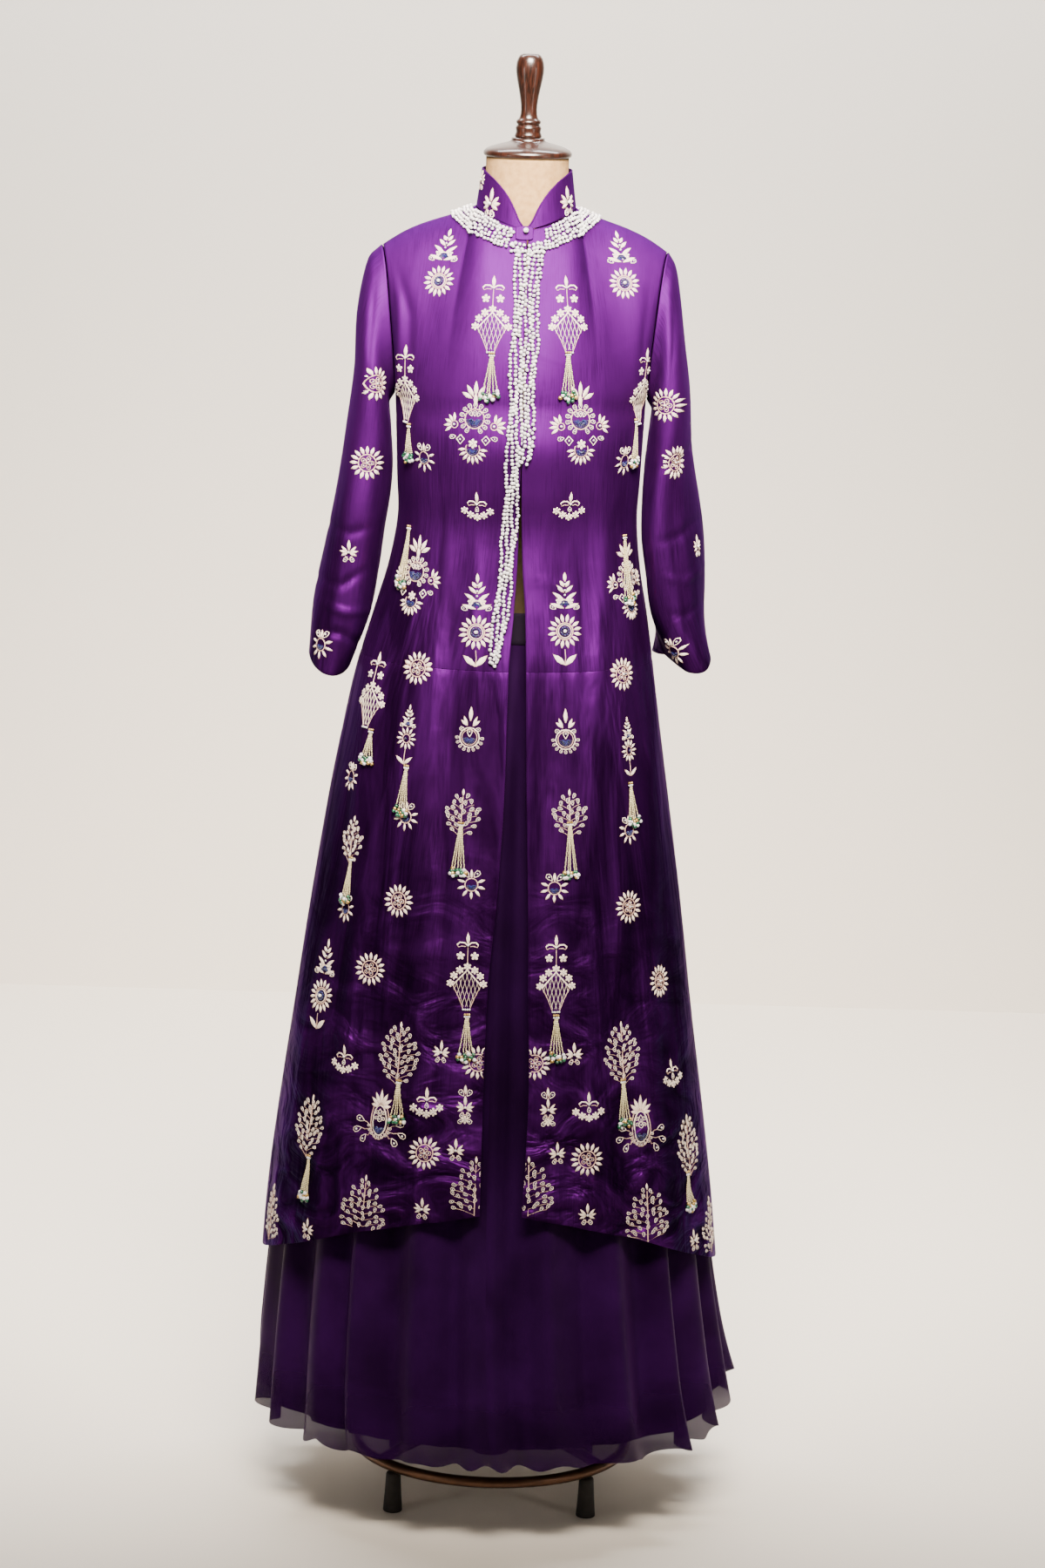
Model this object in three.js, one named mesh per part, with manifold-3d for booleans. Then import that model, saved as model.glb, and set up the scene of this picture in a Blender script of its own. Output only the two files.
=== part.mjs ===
// A jacket lehenga worn by a limbless dress form on a ring stand.
// A long A-line satin jacket with a standing collar, hanging open from the waist, over a fluted
// two-layer georgette skirt. Ropes of pearls edge the neck and both fronts, and beaded tassels hang
// from the embroidery.
// Units are millimetres, +Z is up, the wearer faces -Y, and the origin is on the floor under the pole.
import * as THREE from "three";
import Module from "manifold-3d";

const wasm = await Module();
wasm.setup();

const SEAM = 0.3; // the space left between two pieces that are sewn or fitted together
const JACKET_WALL = 2; // satin with its lining
const SLEEVE_WALL = 1.6;
const GEORGETTE_WALL = 1;
const WAISTBAND_WALL = 3;
const PEARL = 4.6; // the diameter of one pearl

const material = (color, roughness, metalness = 0) =>
  new THREE.MeshStandardMaterial({ color, roughness, metalness });
const satin = material("#3f1270", 0.42);
const georgette = material("#34105c", 0.8);
const crepe = material("#2a0d4a", 0.7);
const pearls = material("#ece8dd", 0.3);
const beads = material("#c9bd95", 0.4);
const linen = material("#cdb595", 0.95);
const darkWood = material("#24120d", 0.3);
const bronze = material("#4a3222", 0.35, 0.8);
const rubber = material("#15110f", 0.7);

const group = new THREE.Group();

// ---------------------------------------------------------------- tools for curves and walls

const { clamp, degToRad, lerp, radToDeg, smoothstep } = THREE.MathUtils;
const V = (x, y, z) => new THREE.Vector3(x, y, z);
const steps = (count, from = 0, to = 1) =>
  Array.from({ length: count + 1 }, (_, i) => lerp(from, to, i / count));

// A smooth value of one column of a table, at a place along another column that rises row by row.
function lookUp(table, key, place, column) {
  const last = table.length - 1;
  const x = clamp(place, table[0][key], table[last][key]);
  const i = clamp(table.findIndex((row) => row[key] >= x) - 1, 0, last - 1);
  const slope = (k) => {
    const a = table[Math.max(k - 1, 0)];
    const b = table[Math.min(k + 1, last)];
    return (b[column] - a[column]) / (b[key] - a[key]);
  };
  const [p, q] = [table[i], table[i + 1]];
  const width = q[key] - p[key];
  const t = (x - p[key]) / width;
  return (
    (2 * t ** 3 - 3 * t ** 2 + 1) * p[column] +
    (t ** 3 - 2 * t ** 2 + t) * width * slope(i) +
    (3 * t ** 2 - 2 * t ** 3) * q[column] +
    (t ** 3 - t ** 2) * width * slope(i + 1)
  );
}

function bezier(t, a, b, c, d) {
  const s = 1 - t;
  return a
    .clone()
    .multiplyScalar(s ** 3)
    .addScaledVector(b, 3 * s * s * t)
    .addScaledVector(c, 3 * s * t * t)
    .addScaledVector(d, t ** 3);
}

function addMesh(name, geometry, finish) {
  const mesh = new THREE.Mesh(geometry, finish);
  mesh.name = name;
  group.add(mesh);
  return mesh;
}

function geometryOf(positions, index) {
  const flat = positions.flatMap((p) => [p.x, p.y, p.z]);
  return new THREE.BufferGeometry()
    .setAttribute("position", new THREE.Float32BufferAttribute(flat, 3))
    .setIndex(index);
}

// A closed wall of even thickness on the surface point(u, v), at the given us and vs. The outside
// is on the side of du x dv. A wall that loops in u joins its last column to its first. Each named
// edge is drawn back by that much, which leaves the space of a seam.
function wall({ us, vs, point, thickness, loop = false, back = {} }) {
  const columns = us.length;
  const rows = vs.length;
  const [v0, v1] = [vs[0], vs[rows - 1]];
  const [first, last] = [us[0], us[columns - 1]];
  const step = (last - first) * 1e-3;
  const lift = (v1 - v0) * 1e-3;
  const held = (u) => (loop ? u : clamp(u, Math.min(first, last), Math.max(first, last)));
  const middle = [];
  const normal = [];
  for (const v of vs)
    for (const u of us) {
      const alongU = point(held(u + step), v).sub(point(held(u - step), v));
      const above = point(u, clamp(v + lift, Math.min(v0, v1), Math.max(v0, v1)));
      const below = point(u, clamp(v - lift, Math.min(v0, v1), Math.max(v0, v1)));
      const alongV = above.sub(below);
      middle.push(point(u, v));
      normal.push(alongU.cross(alongV).normalize());
    }
  const at = (i, j) => j * columns + i;
  const draw = (from, to, by) => {
    const way = middle[to].clone().sub(middle[from]).normalize();
    middle[from].addScaledVector(way, by ?? 0);
  };
  for (let j = 0; j < rows && !loop; j++) {
    draw(at(0, j), at(1, j), back.start);
    draw(at(columns - 1, j), at(columns - 2, j), back.end);
  }
  for (let i = 0; i < columns; i++) {
    draw(at(i, 0), at(i, 1), back.low);
    draw(at(i, rows - 1), at(i, rows - 2), back.high);
  }
  const layer = (side) =>
    middle.map((p, k) => p.clone().addScaledVector(normal[k], (side * thickness) / 2));
  const index = [];
  const inner = columns * rows;
  const quad = (a, b, c, d) => index.push(a, b, c, a, c, d);
  const across = loop ? columns : columns - 1;
  for (let j = 0; j < rows - 1; j++)
    for (let i = 0; i < across; i++) {
      const k = (i + 1) % columns;
      quad(at(i, j), at(k, j), at(k, j + 1), at(i, j + 1));
      quad(inner + at(i, j + 1), inner + at(k, j + 1), inner + at(k, j), inner + at(i, j));
    }
  for (let i = 0; i < across; i++) {
    const k = (i + 1) % columns;
    quad(at(k, 0), at(i, 0), inner + at(i, 0), inner + at(k, 0));
    quad(at(i, rows - 1), at(k, rows - 1), inner + at(k, rows - 1), inner + at(i, rows - 1));
  }
  for (let j = 0; j < rows - 1 && !loop; j++) {
    const e = columns - 1;
    quad(at(0, j), at(0, j + 1), inner + at(0, j + 1), inner + at(0, j));
    quad(at(e, j + 1), at(e, j), inner + at(e, j), inner + at(e, j + 1));
  }
  return geometryOf([...layer(1), ...layer(-1)], index);
}

// A solid skin over rings of points, closed by a fan at each end.
function skin(rings) {
  const count = rings[0].length;
  const positions = rings.flat();
  const index = [];
  for (let j = 0; j < rings.length - 1; j++)
    for (let i = 0; i < count; i++) {
      const k = (i + 1) % count;
      const [a, b, c, d] = [j * count + i, j * count + k, (j + 1) * count + k, (j + 1) * count + i];
      index.push(a, b, c, a, c, d);
    }
  const top = (rings.length - 1) * count;
  for (let i = 1; i < count - 1; i++) {
    index.push(0, i + 1, i);
    index.push(top, top + i, top + i + 1);
  }
  return geometryOf(positions, index);
}

const toSolid = (geometry) =>
  new wasm.Manifold(
    new wasm.Mesh({
      numProp: 3,
      vertProperties: geometry.getAttribute("position").array,
      triVerts: new Uint32Array(geometry.index.array),
    }),
  );

function fromSolid(solid) {
  const mesh = solid.getMesh();
  return new THREE.BufferGeometry()
    .setAttribute("position", new THREE.BufferAttribute(mesh.vertProperties.slice(), 3))
    .setIndex(new THREE.BufferAttribute(mesh.triVerts.slice(), 1));
}

// ---------------------------------------------------------------- the dress form and its stand

// Half width, and depth before and behind the axis, of the padded form at each height.
const FORM = [
  { z: 905, half: 138, front: 94, back: 98, square: 0.92 },
  { z: 918, half: 150, front: 106, back: 110, square: 0.92 },
  { z: 1000, half: 158, front: 112, back: 117, square: 0.92 },
  { z: 1080, half: 153, front: 108, back: 110, square: 0.92 },
  { z: 1142, half: 140, front: 100, back: 97, square: 0.92 },
  { z: 1200, half: 125, front: 91, back: 82, square: 0.92 },
  { z: 1250, half: 119, front: 88, back: 77, square: 0.92 },
  { z: 1300, half: 125, front: 98, back: 80, square: 0.92 },
  { z: 1350, half: 136, front: 116, back: 84, square: 0.92 },
  { z: 1400, half: 140, front: 110, back: 84, square: 0.92 },
  { z: 1450, half: 144, front: 92, back: 82, square: 0.95 },
  { z: 1500, half: 148, front: 77, back: 75, square: 1 },
  { z: 1540, half: 151, front: 64, back: 63, square: 1.1 },
  { z: 1576, half: 151, front: 53, back: 51, square: 1.4 },
  { z: 1595, half: 134, front: 49, back: 48, square: 1.7 },
  { z: 1607.5, half: 109, front: 47, back: 48, square: 1.85 },
  { z: 1618.5, half: 70.5, front: 49, back: 50, square: 1.6 },
  { z: 1630, half: 55, front: 50, back: 51, square: 1.05 },
  { z: 1642, half: 51.5, front: 50, back: 50.5, square: 1 },
  { z: 1662, half: 50.5, front: 50, back: 50, square: 1 },
  { z: 1692, half: 50.5, front: 50.5, back: 50.5, square: 1 },
];
const FORM_SIDES = 22;
const NECK_TOP = FORM[FORM.length - 1].z;
const WAISTBAND = { low: 1108, high: 1146 };

// A point on an oval section, at an angle in radians from the front, positive towards +X.
function ovalPoint(angle, half, front, back, square = 1) {
  const c = Math.cos(angle);
  const depth = c > 0 ? -front : back;
  return [half * Math.sin(angle), depth * Math.abs(c) ** square];
}

function formPoint(angle, z, out = 0) {
  const [half, front, back] = ["half", "front", "back"].map((k) => lookUp(FORM, "z", z, k) + out);
  return V(...ovalPoint(angle, half, front, back, lookUp(FORM, "z", z, "square")), z);
}

function makeForm() {
  const angles = steps(FORM_SIDES, 0, 2 * Math.PI).slice(0, -1);
  const levels = [...FORM.map(({ z }) => z), WAISTBAND.low, WAISTBAND.high].sort((a, b) => a - b);
  addMesh("form_torso", skin(levels.map((z) => angles.map((a) => formPoint(a, z)))), linen);
}

// Turned profiles, as radius and height, from the axis at the bottom to the axis at the top.
const CAP_PROFILE = [
  [0, 0], [52.5, 0], [54, 3], [53, 8], [46, 12.5], [31, 16.5], [20.5, 20], [20.5, 23], [0, 23],
];
const FINIAL_PROFILE = [
  [0, 0], [17, 0], [16, 13.5], [13.5, 15.5], [15, 19], [11, 24], [9.8, 32], [10.6, 45], [12.7, 57],
  [15.9, 70], [17.2, 82], [16.4, 92], [14, 98], [10, 101], [0, 101],
];

function turned(name, profile, base, sides, finish) {
  const points = profile.map(([radius, height]) => new THREE.Vector2(radius, height));
  const geometry = new THREE.LatheGeometry(points, sides);
  geometry.rotateX(Math.PI / 2);
  geometry.translate(0, 0, base);
  addMesh(name, geometry, finish);
}

const RING_RADIUS = 172;
const RING_TUBE = 7;
const RING_HEIGHT = 58;
const POLE_RADIUS = 15;
const HUB = { radius: 26, low: 42, high: 104 };
const ARM = { radius: 7, count: 4, turn: 36, hubHeight: 84 };
const FOOT = { radius: 12, topRadius: 9, count: 4 };

function tube(points, radius, sides) {
  const section = new THREE.Shape(
    steps(sides, 0, 2 * Math.PI)
      .slice(0, -1)
      .map((a) => new THREE.Vector2(radius * Math.cos(a), radius * Math.sin(a))),
  );
  const extrudePath = new THREE.CatmullRomCurve3(points);
  const bars = new THREE.ExtrudeGeometry(section, {
    steps: points.length + 1,
    extrudePath,
    bevelEnabled: false,
  });
  return mergedSolid(bars);
}

// A solid from a three.js geometry whose faces don't share their vertices.
function mergedSolid(geometry) {
  const source = geometry.index ? geometry.toNonIndexed() : geometry;
  const p = source.getAttribute("position");
  const seen = new Map();
  const positions = [];
  const index = [];
  for (let i = 0; i < p.count; i++) {
    const point = V(p.getX(i), p.getY(i), p.getZ(i));
    const key = point.toArray().map((n) => Math.round(n * 1e4)).join(",");
    if (!seen.has(key)) seen.set(key, positions.push(point) - 1);
    index.push(seen.get(key));
  }
  const faces = [];
  for (let i = 0; i < index.length; i += 3) {
    const [a, b, c] = index.slice(i, i + 3);
    if (a !== b && b !== c && c !== a) faces.push(a, b, c);
  }
  return toSolid(geometryOf(positions, faces));
}

function makeStand() {
  const ring = new THREE.TorusGeometry(RING_RADIUS, RING_TUBE, 7, 32);
  ring.translate(0, 0, RING_HEIGHT);
  const hub = new THREE.CylinderGeometry(HUB.radius, HUB.radius, HUB.high - HUB.low, 16);
  hub.rotateX(Math.PI / 2);
  hub.translate(0, 0, (HUB.high + HUB.low) / 2);
  let frame = mergedSolid(ring).add(mergedSolid(hub));
  for (let i = 0; i < ARM.count; i++) {
    const side = i < 2 ? 1 : -1;
    const angle = degToRad(i % 2 ? 180 - ARM.turn : ARM.turn) * side;
    const spot = (radius, z) => V(radius * Math.cos(angle), radius * Math.sin(angle), z);
    const arm = [spot(HUB.radius / 2, ARM.hubHeight), spot(100, 78), spot(RING_RADIUS, RING_HEIGHT)];
    frame = frame.add(tube(arm, ARM.radius, 6));
  }
  const socket = new THREE.CylinderGeometry(POLE_RADIUS + SEAM, POLE_RADIUS + SEAM, HUB.high, 16);
  socket.rotateX(Math.PI / 2);
  socket.translate(0, 0, HUB.low + 20 + HUB.high / 2);
  addMesh("stand_base", fromSolid(frame.subtract(mergedSolid(socket))), bronze);

  const poleFoot = HUB.low + 20 + SEAM;
  const poleTop = FORM[0].z - SEAM;
  const pole = new THREE.CylinderGeometry(POLE_RADIUS, POLE_RADIUS, poleTop - poleFoot, 16);
  pole.rotateX(Math.PI / 2);
  pole.translate(0, 0, (poleTop + poleFoot) / 2);
  addMesh("stand_pole", pole, bronze);

  const height = RING_HEIGHT - RING_TUBE - SEAM;
  for (let i = 0; i < FOOT.count; i++) {
    const foot = new THREE.CylinderGeometry(FOOT.topRadius, FOOT.radius, height, 12);
    foot.rotateX(Math.PI / 2);
    const angle = (i * 2 * Math.PI) / FOOT.count + Math.PI / 4;
    foot.translate(RING_RADIUS * Math.cos(angle), RING_RADIUS * Math.sin(angle), height / 2);
    addMesh(`stand_foot_${i + 1}`, foot, rubber);
  }
}

// ---------------------------------------------------------------- the jacket's body

// The cloth's sections below the armholes. shift is how far the cloth swings to one side.
const BODY = [
  { z: 300, half: 289, front: 249, back: 249, shift: -9 },
  { z: 400, half: 280, front: 241, back: 240, shift: -11 },
  { z: 497, half: 268, front: 231, back: 228, shift: -12 },
  { z: 633, half: 249, front: 215, back: 210, shift: -13 },
  { z: 768, half: 231, front: 198, back: 192, shift: -13 },
  { z: 902, half: 211, front: 178, back: 171, shift: -13 },
  { z: 980, half: 198, front: 164, back: 156, shift: -12 },
  { z: 1055, half: 185, front: 150, back: 141, shift: -10 },
  { z: 1130, half: 169, front: 134, back: 124, shift: -5 },
  { z: 1190, half: 155, front: 123, back: 109, shift: -2 },
  { z: 1250, half: 147, front: 118, back: 98, shift: 0 },
  { z: 1300, half: 149, front: 128, back: 98, shift: 0 },
  { z: 1350, half: 151, front: 136, back: 101, shift: 0 },
  { z: 1400, half: 153, front: 127, back: 104, shift: 0 },
];
const CHEST = 1400; // where the armholes begin
const WAIST_SEAM = 1080; // where each panel's upper piece is sewn to its lower piece
const SQUARE = 0.85; // under 1 flattens an oval's front and back

// The hem's height by angle from the front: short at the open fronts, long at the sides.
const JACKET_HEM = [
  { angle: 0, z: 423 },
  { angle: 20, z: 404 },
  { angle: 36, z: 385 },
  { angle: 55, z: 356 },
  { angle: 90, z: 314 },
  { angle: 130, z: 302 },
  { angle: 180, z: 300 },
];

// The soft folds that fall from the hips: the angle of each crest, its half width and its rise
// at the hem, and the height where it begins.
const JACKET_FOLDS = [
  { angle: -152, width: 11, rise: 10, from: 1060 },
  { angle: -124, width: 9, rise: 8, from: 980 },
  { angle: -66, width: 8, rise: 5, from: 900 },
  { angle: -47, width: 7, rise: 9, from: 1080 },
  { angle: -27, width: 6, rise: 6, from: 960 },
  { angle: -11, width: 5, rise: 4, from: 820 },
  { angle: 13, width: 5, rise: 6, from: 1000 },
  { angle: 29, width: 6, rise: 8, from: 1100 },
  { angle: 50, width: 8, rise: 7, from: 940 },
  { angle: 71, width: 6, rise: 4, from: 860 },
  { angle: 118, width: 10, rise: 9, from: 1020 },
  { angle: 149, width: 9, rise: 7, from: 1080 },
  { angle: 178, width: 10, rise: 9, from: 980 },
];

// How far the two fronts' edges lie from the middle: closed to the waist, then falling open.
const FRONT_EDGES = [
  { z: 400, left: -20, right: 27 },
  { z: 560, left: -20, right: 32 },
  { z: 700, left: -18, right: 28 },
  { z: 810, left: -10, right: 25 },
  { z: 930, left: -5, right: 20 },
  { z: 1080, left: -4, right: 15 },
  { z: 1150, left: 0, right: 12 },
  { z: 1210, left: 2.5, right: 7 },
  { z: 1320, left: 3, right: 3 },
  { z: 1400, left: 3, right: 3 },
];

const jacketHem = (degrees) => lookUp(JACKET_HEM, "angle", Math.abs(degrees), "z");

function foldRise(degrees, z) {
  return JACKET_FOLDS.reduce((sum, fold) => {
    const off = ((degrees - fold.angle + 540) % 360) - 180;
    const grown = smoothstep(fold.from - z, 0, fold.from - BODY[0].z);
    return sum + fold.rise * grown * Math.exp(-((off / fold.width) ** 2));
  }, 0);
}

function bodyPoint(degrees, z) {
  const rise = foldRise(degrees, z);
  const [half, front, back] = ["half", "front", "back"].map((k) => lookUp(BODY, "z", z, k) + rise);
  const [x, y] = ovalPoint(degToRad(degrees), half, front, back, SQUARE);
  return V(x + lookUp(BODY, "z", z, "shift"), y, z);
}

// The yoke: each column of cloth rises from the chest to the neckline or the shoulder seam.
const NECK = { half: 62, front: 66, back: 60, frontZ: 1609, sideZ: 1630, backZ: 1636 };
const SHOULDER_TIP = V(174, 4, 1580);
const SHOULDER_RISE = 10; // how the seam bows up over the shoulder
const NECK_POINT = V(NECK.half, 4, NECK.sideZ);
const NECK_COLUMNS = 5; // of the panel's columns, those that end on the neckline
const HALF_COLUMNS = 12; // a quarter of the body is this many columns wide
const NECK_SHARE = NECK_COLUMNS / HALF_COLUMNS;

// u runs from the middle of the front or back (0) to the armhole (1); face is -1 front, 1 back.
function yokeTop(u, face) {
  if (u >= NECK_SHARE) {
    const along = (u - NECK_SHARE) / (1 - NECK_SHARE);
    const seam = NECK_POINT.clone().lerp(SHOULDER_TIP, along);
    seam.z += SHOULDER_RISE * along * Math.sin(Math.PI * along);
    return seam;
  }
  const turn = (Math.PI / 2) * (u / NECK_SHARE);
  const depth = (face < 0 ? -NECK.front : NECK.back) - NECK_POINT.y;
  const middleZ = face < 0 ? NECK.frontZ : NECK.backZ;
  return V(
    NECK.half * Math.sin(turn),
    NECK_POINT.y + depth * Math.cos(turn),
    lerp(middleZ, NECK.sideZ, Math.sin(turn) ** 1.6),
  );
}

function yokePoint(u, t, face, chest, side) {
  const top = yokeTop(u, face);
  const toArm = smoothstep(u, 0.5, 1);
  const toSeam = smoothstep(u, 0, NECK_SHARE);
  const low = V(side * chest.x, chest.y, chest.z);
  const rise = (top.z - low.z) * 0.36;
  const start = low.clone().add(V(-3 * toArm, face * 72 * toArm, lerp(rise, 6, toArm)));
  const forward = face < 0 ? lerp(24, 56, toSeam) : lerp(14, 50, toSeam);
  const end = top.clone().add(V(-8 * toArm, face * lerp(forward, 56, toArm), -lerp(64, 0, toSeam)));
  const p = bezier(t, low, start, end, top);
  p.x *= side;
  return p;
}

// v is 0 at the hem, 1 at the chest and 2 at the top.
const WAIST_LEVEL = 0.69;
const LOWER_LEVELS = [0, 0.08, 0.17, 0.26, 0.35, 0.44, 0.53, 0.61, WAIST_LEVEL];
const UPPER_LEVELS = [WAIST_LEVEL, 0.76, 0.82, 0.88, 0.94, 1, 1.14, 1.3, 1.47, 1.64, 1.82, 2];

function levelHeight(degrees, v) {
  if (v < WAIST_LEVEL) return lerp(jacketHem(degrees), WAIST_SEAM, v / WAIST_LEVEL);
  return lerp(WAIST_SEAM, CHEST, (Math.min(v, 1) - WAIST_LEVEL) / (1 - WAIST_LEVEL));
}

function frontPoint(side, u, v) {
  const edgeKey = side < 0 ? "left" : "right";
  const z = levelHeight(90 * u, v);
  const edge = lookUp(FRONT_EDGES, "z", z, edgeKey) - lookUp(BODY, "z", z, "shift");
  const first = radToDeg(Math.asin((side * edge) / lookUp(BODY, "z", z, "half")));
  const degrees = side * lerp(first, 90, u);
  const body = bodyPoint(degrees, z);
  if (v <= 1) return body;
  const p = yokePoint(u, v - 1, -1, body, side);
  p.x += FRONT_EDGES[FRONT_EDGES.length - 1].left * Math.max(1 - u / NECK_SHARE, 0) ** 2 * (v - 1);
  return p;
}

function backPoint(u, v) {
  const degrees = 180 - 90 * u;
  const side = u < 0 ? -1 : 1;
  const body = bodyPoint(degrees, levelHeight(180 - 90 * Math.abs(u), v));
  return v <= 1 ? body : yokePoint(Math.abs(u), v - 1, 1, body, side);
}

const SEAM_BACK = 0.2; // drawn back at each side of a seam

// A panel in its two pieces, which meet at the waist seam. start and end are its sides' clearances.
function makePanel(names, us, point, start, end) {
  const upper = { low: SEAM_BACK, high: SEAM_BACK, start, end };
  const lower = { high: SEAM_BACK, start, end };
  const cut = { us, point, thickness: JACKET_WALL };
  addMesh(names[0], wall({ ...cut, vs: UPPER_LEVELS, back: upper }), satin);
  addMesh(names[1], wall({ ...cut, vs: LOWER_LEVELS, back: lower }), satin);
}

function makeBody() {
  const quarter = steps(HALF_COLUMNS);
  makePanel(
    ["bodice_front_right", "jacket_skirt_right"],
    quarter, (u, v) => frontPoint(1, u, v), SEAM, SEAM_BACK,
  );
  makePanel(
    ["bodice_front_left", "jacket_skirt_left"],
    quarter.map((u) => 1 - u), (u, v) => frontPoint(-1, u, v), SEAM_BACK, SEAM,
  );
  makePanel(
    ["bodice_back", "jacket_skirt_back"],
    steps(2 * HALF_COLUMNS, 1, -1), backPoint, SEAM_BACK, SEAM_BACK,
  );
}

// ---------------------------------------------------------------- the sleeves

// Each sleeve from its armhole to its cuff, as the outermost and innermost points of each section,
// the section's half depth, and how far its front and back sag.
const RIGHT_SLEEVE = [
  { at: 0, outX: 175, outZ: 1580, inX: 154, inZ: 1400, depth: 58, sag: 0 },
  { at: 0.08, outX: 185, outZ: 1561, inX: 161, inZ: 1386, depth: 61, sag: 0 },
  { at: 0.2, outX: 196, outZ: 1503, inX: 158, inZ: 1356, depth: 64, sag: 0 },
  { at: 0.33, outX: 205, outZ: 1432, inX: 155, inZ: 1320, depth: 65, sag: 0 },
  { at: 0.46, outX: 210, outZ: 1362, inX: 154, inZ: 1280, depth: 65, sag: 0 },
  { at: 0.6, outX: 219, outZ: 1288, inX: 157, inZ: 1233, depth: 65, sag: 2 },
  { at: 0.73, outX: 228, outZ: 1220, inX: 165, inZ: 1188, depth: 66, sag: 5 },
  { at: 0.86, outX: 234, outZ: 1158, inX: 171, inZ: 1138, depth: 67, sag: 10 },
  { at: 1, outX: 238, outZ: 1092, inX: 179, inZ: 1088, depth: 68, sag: 18 },
];
const LEFT_SLEEVE = [
  { at: 0, outX: 175, outZ: 1580, inX: 154, inZ: 1400, depth: 58, sag: 0 },
  { at: 0.08, outX: 191, outZ: 1562, inX: 161, inZ: 1386, depth: 61, sag: 0 },
  { at: 0.2, outX: 202, outZ: 1505, inX: 158, inZ: 1354, depth: 64, sag: 0 },
  { at: 0.33, outX: 206, outZ: 1432, inX: 156, inZ: 1318, depth: 65, sag: 0 },
  { at: 0.46, outX: 214, outZ: 1362, inX: 158, inZ: 1277, depth: 65, sag: 0 },
  { at: 0.6, outX: 224, outZ: 1284, inX: 164, inZ: 1228, depth: 65, sag: 1 },
  { at: 0.73, outX: 235, outZ: 1212, inX: 171, inZ: 1180, depth: 66, sag: 3 },
  { at: 0.86, outX: 249, outZ: 1140, inX: 180, inZ: 1124, depth: 67, sag: 8 },
  { at: 1, outX: 254, outZ: 1076, inX: 201, inZ: 1064, depth: 68, sag: 13 },
];
const SLEEVE_COLUMNS = 16;
const SLEEVE_LEVELS = [0, 0.04, 0.09, 0.15, 0.22, 0.31, 0.41, 0.51, 0.61, 0.71, 0.8, 0.88, 0.94, 1];

// A point on the sleeve's own tube; turn goes from the outside through the front and the underarm.
function sleeveTube(table, side, turn, v) {
  const row = (key) => lookUp(table, "at", v, key);
  const across = (1 + Math.sign(Math.cos(turn)) * Math.abs(Math.cos(turn)) ** 0.9) / 2;
  const swing = Math.sin(turn);
  return V(
    side * lerp(row("inX"), row("outX"), across),
    -row("depth") * swing,
    lerp(row("inZ"), row("outZ"), across) - row("sag") * swing * swing,
  );
}

// u goes round from the outside (0) through the front (1/4), the underarm (1/2) and the back.
function sleevePoint(table, side, u, v) {
  const turn = u * 2 * Math.PI;
  const tubePoint = sleeveTube(table, side, turn, v);
  const round = ((u % 1) + 1) % 1;
  const face = round < 0.5 ? -1 : 1;
  const chest = bodyPoint(90 * side, CHEST);
  const armhole = yokePoint(1, Math.abs(1 - 2 * round), face, chest, side);
  armhole.x += side * lerp(1.5, 2.6, (1 - Math.cos(turn)) / 2);
  armhole.add(tubePoint).sub(sleeveTube(table, side, turn, 0));
  return armhole.lerp(tubePoint, smoothstep(v, 0, 0.24));
}

function makeSleeve(name, table, side) {
  const us = steps(SLEEVE_COLUMNS).slice(0, -1);
  const geometry = wall({
    us: side > 0 ? us : us.map((u) => 1 - u),
    vs: SLEEVE_LEVELS,
    point: (u, v) => sleevePoint(table, side, u, v),
    thickness: SLEEVE_WALL,
    loop: true,
  });
  addMesh(name, geometry, satin);
}

// ---------------------------------------------------------------- the collar, its tab and button

// The standing collar's height by angle from the front: it falls to a V at the throat.
const COLLAR_HEIGHT = [
  { angle: 3, height: 2.5 },
  { angle: 8, height: 9 },
  { angle: 15, height: 22 },
  { angle: 24, height: 33 },
  { angle: 34, height: 40 },
  { angle: 50, height: 45 },
  { angle: 90, height: 47 },
  { angle: 180, height: 45 },
];
const COLLAR_TOP = { half: 54.5, front: 55, back: 55 };
const COLLAR_WALL = 1.8;
const QUARTER_ANGLES = [3, 6, 9, 13, 18, 24, 32, 43, 57, 73, 90, 112, 135, 158];

function collarPoint(angle, v) {
  const turn = degToRad(angle);
  const [c, s] = [Math.cos(turn), Math.sin(turn)];
  const fromFront = Math.min(angle, 360 - angle);
  const inset = lerp(1.7, 3.1, c * c);
  const [half, front, back] = [NECK.half, NECK.front + NECK_POINT.y, NECK.back - NECK_POINT.y];
  const footZ = lerp(c > 0 ? NECK.frontZ : NECK.backZ, NECK.sideZ, Math.abs(s) ** 1.6);
  const foot = V((half - inset) * s, NECK_POINT.y - ((c > 0 ? front : back) - inset) * c, footZ + 0.4);
  const depth = c > 0 ? COLLAR_TOP.front : COLLAR_TOP.back;
  const top = V(COLLAR_TOP.half * s, 2 - depth * c, footZ + 46);
  return foot.lerp(top, (v * lookUp(COLLAR_HEIGHT, "angle", fromFront, "height")) / 46);
}

const TAB = { left: -12, right: 9.5, low: 1597, high: 1613.5, lean: 24 / 64, lift: 2.6 };
const BUTTON = { x: 0.6, z: 1609, radius: 3.4 };

const tabDepth = (z) => -NECK.front - (NECK.frontZ - z) * TAB.lean - TAB.lift;

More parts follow.
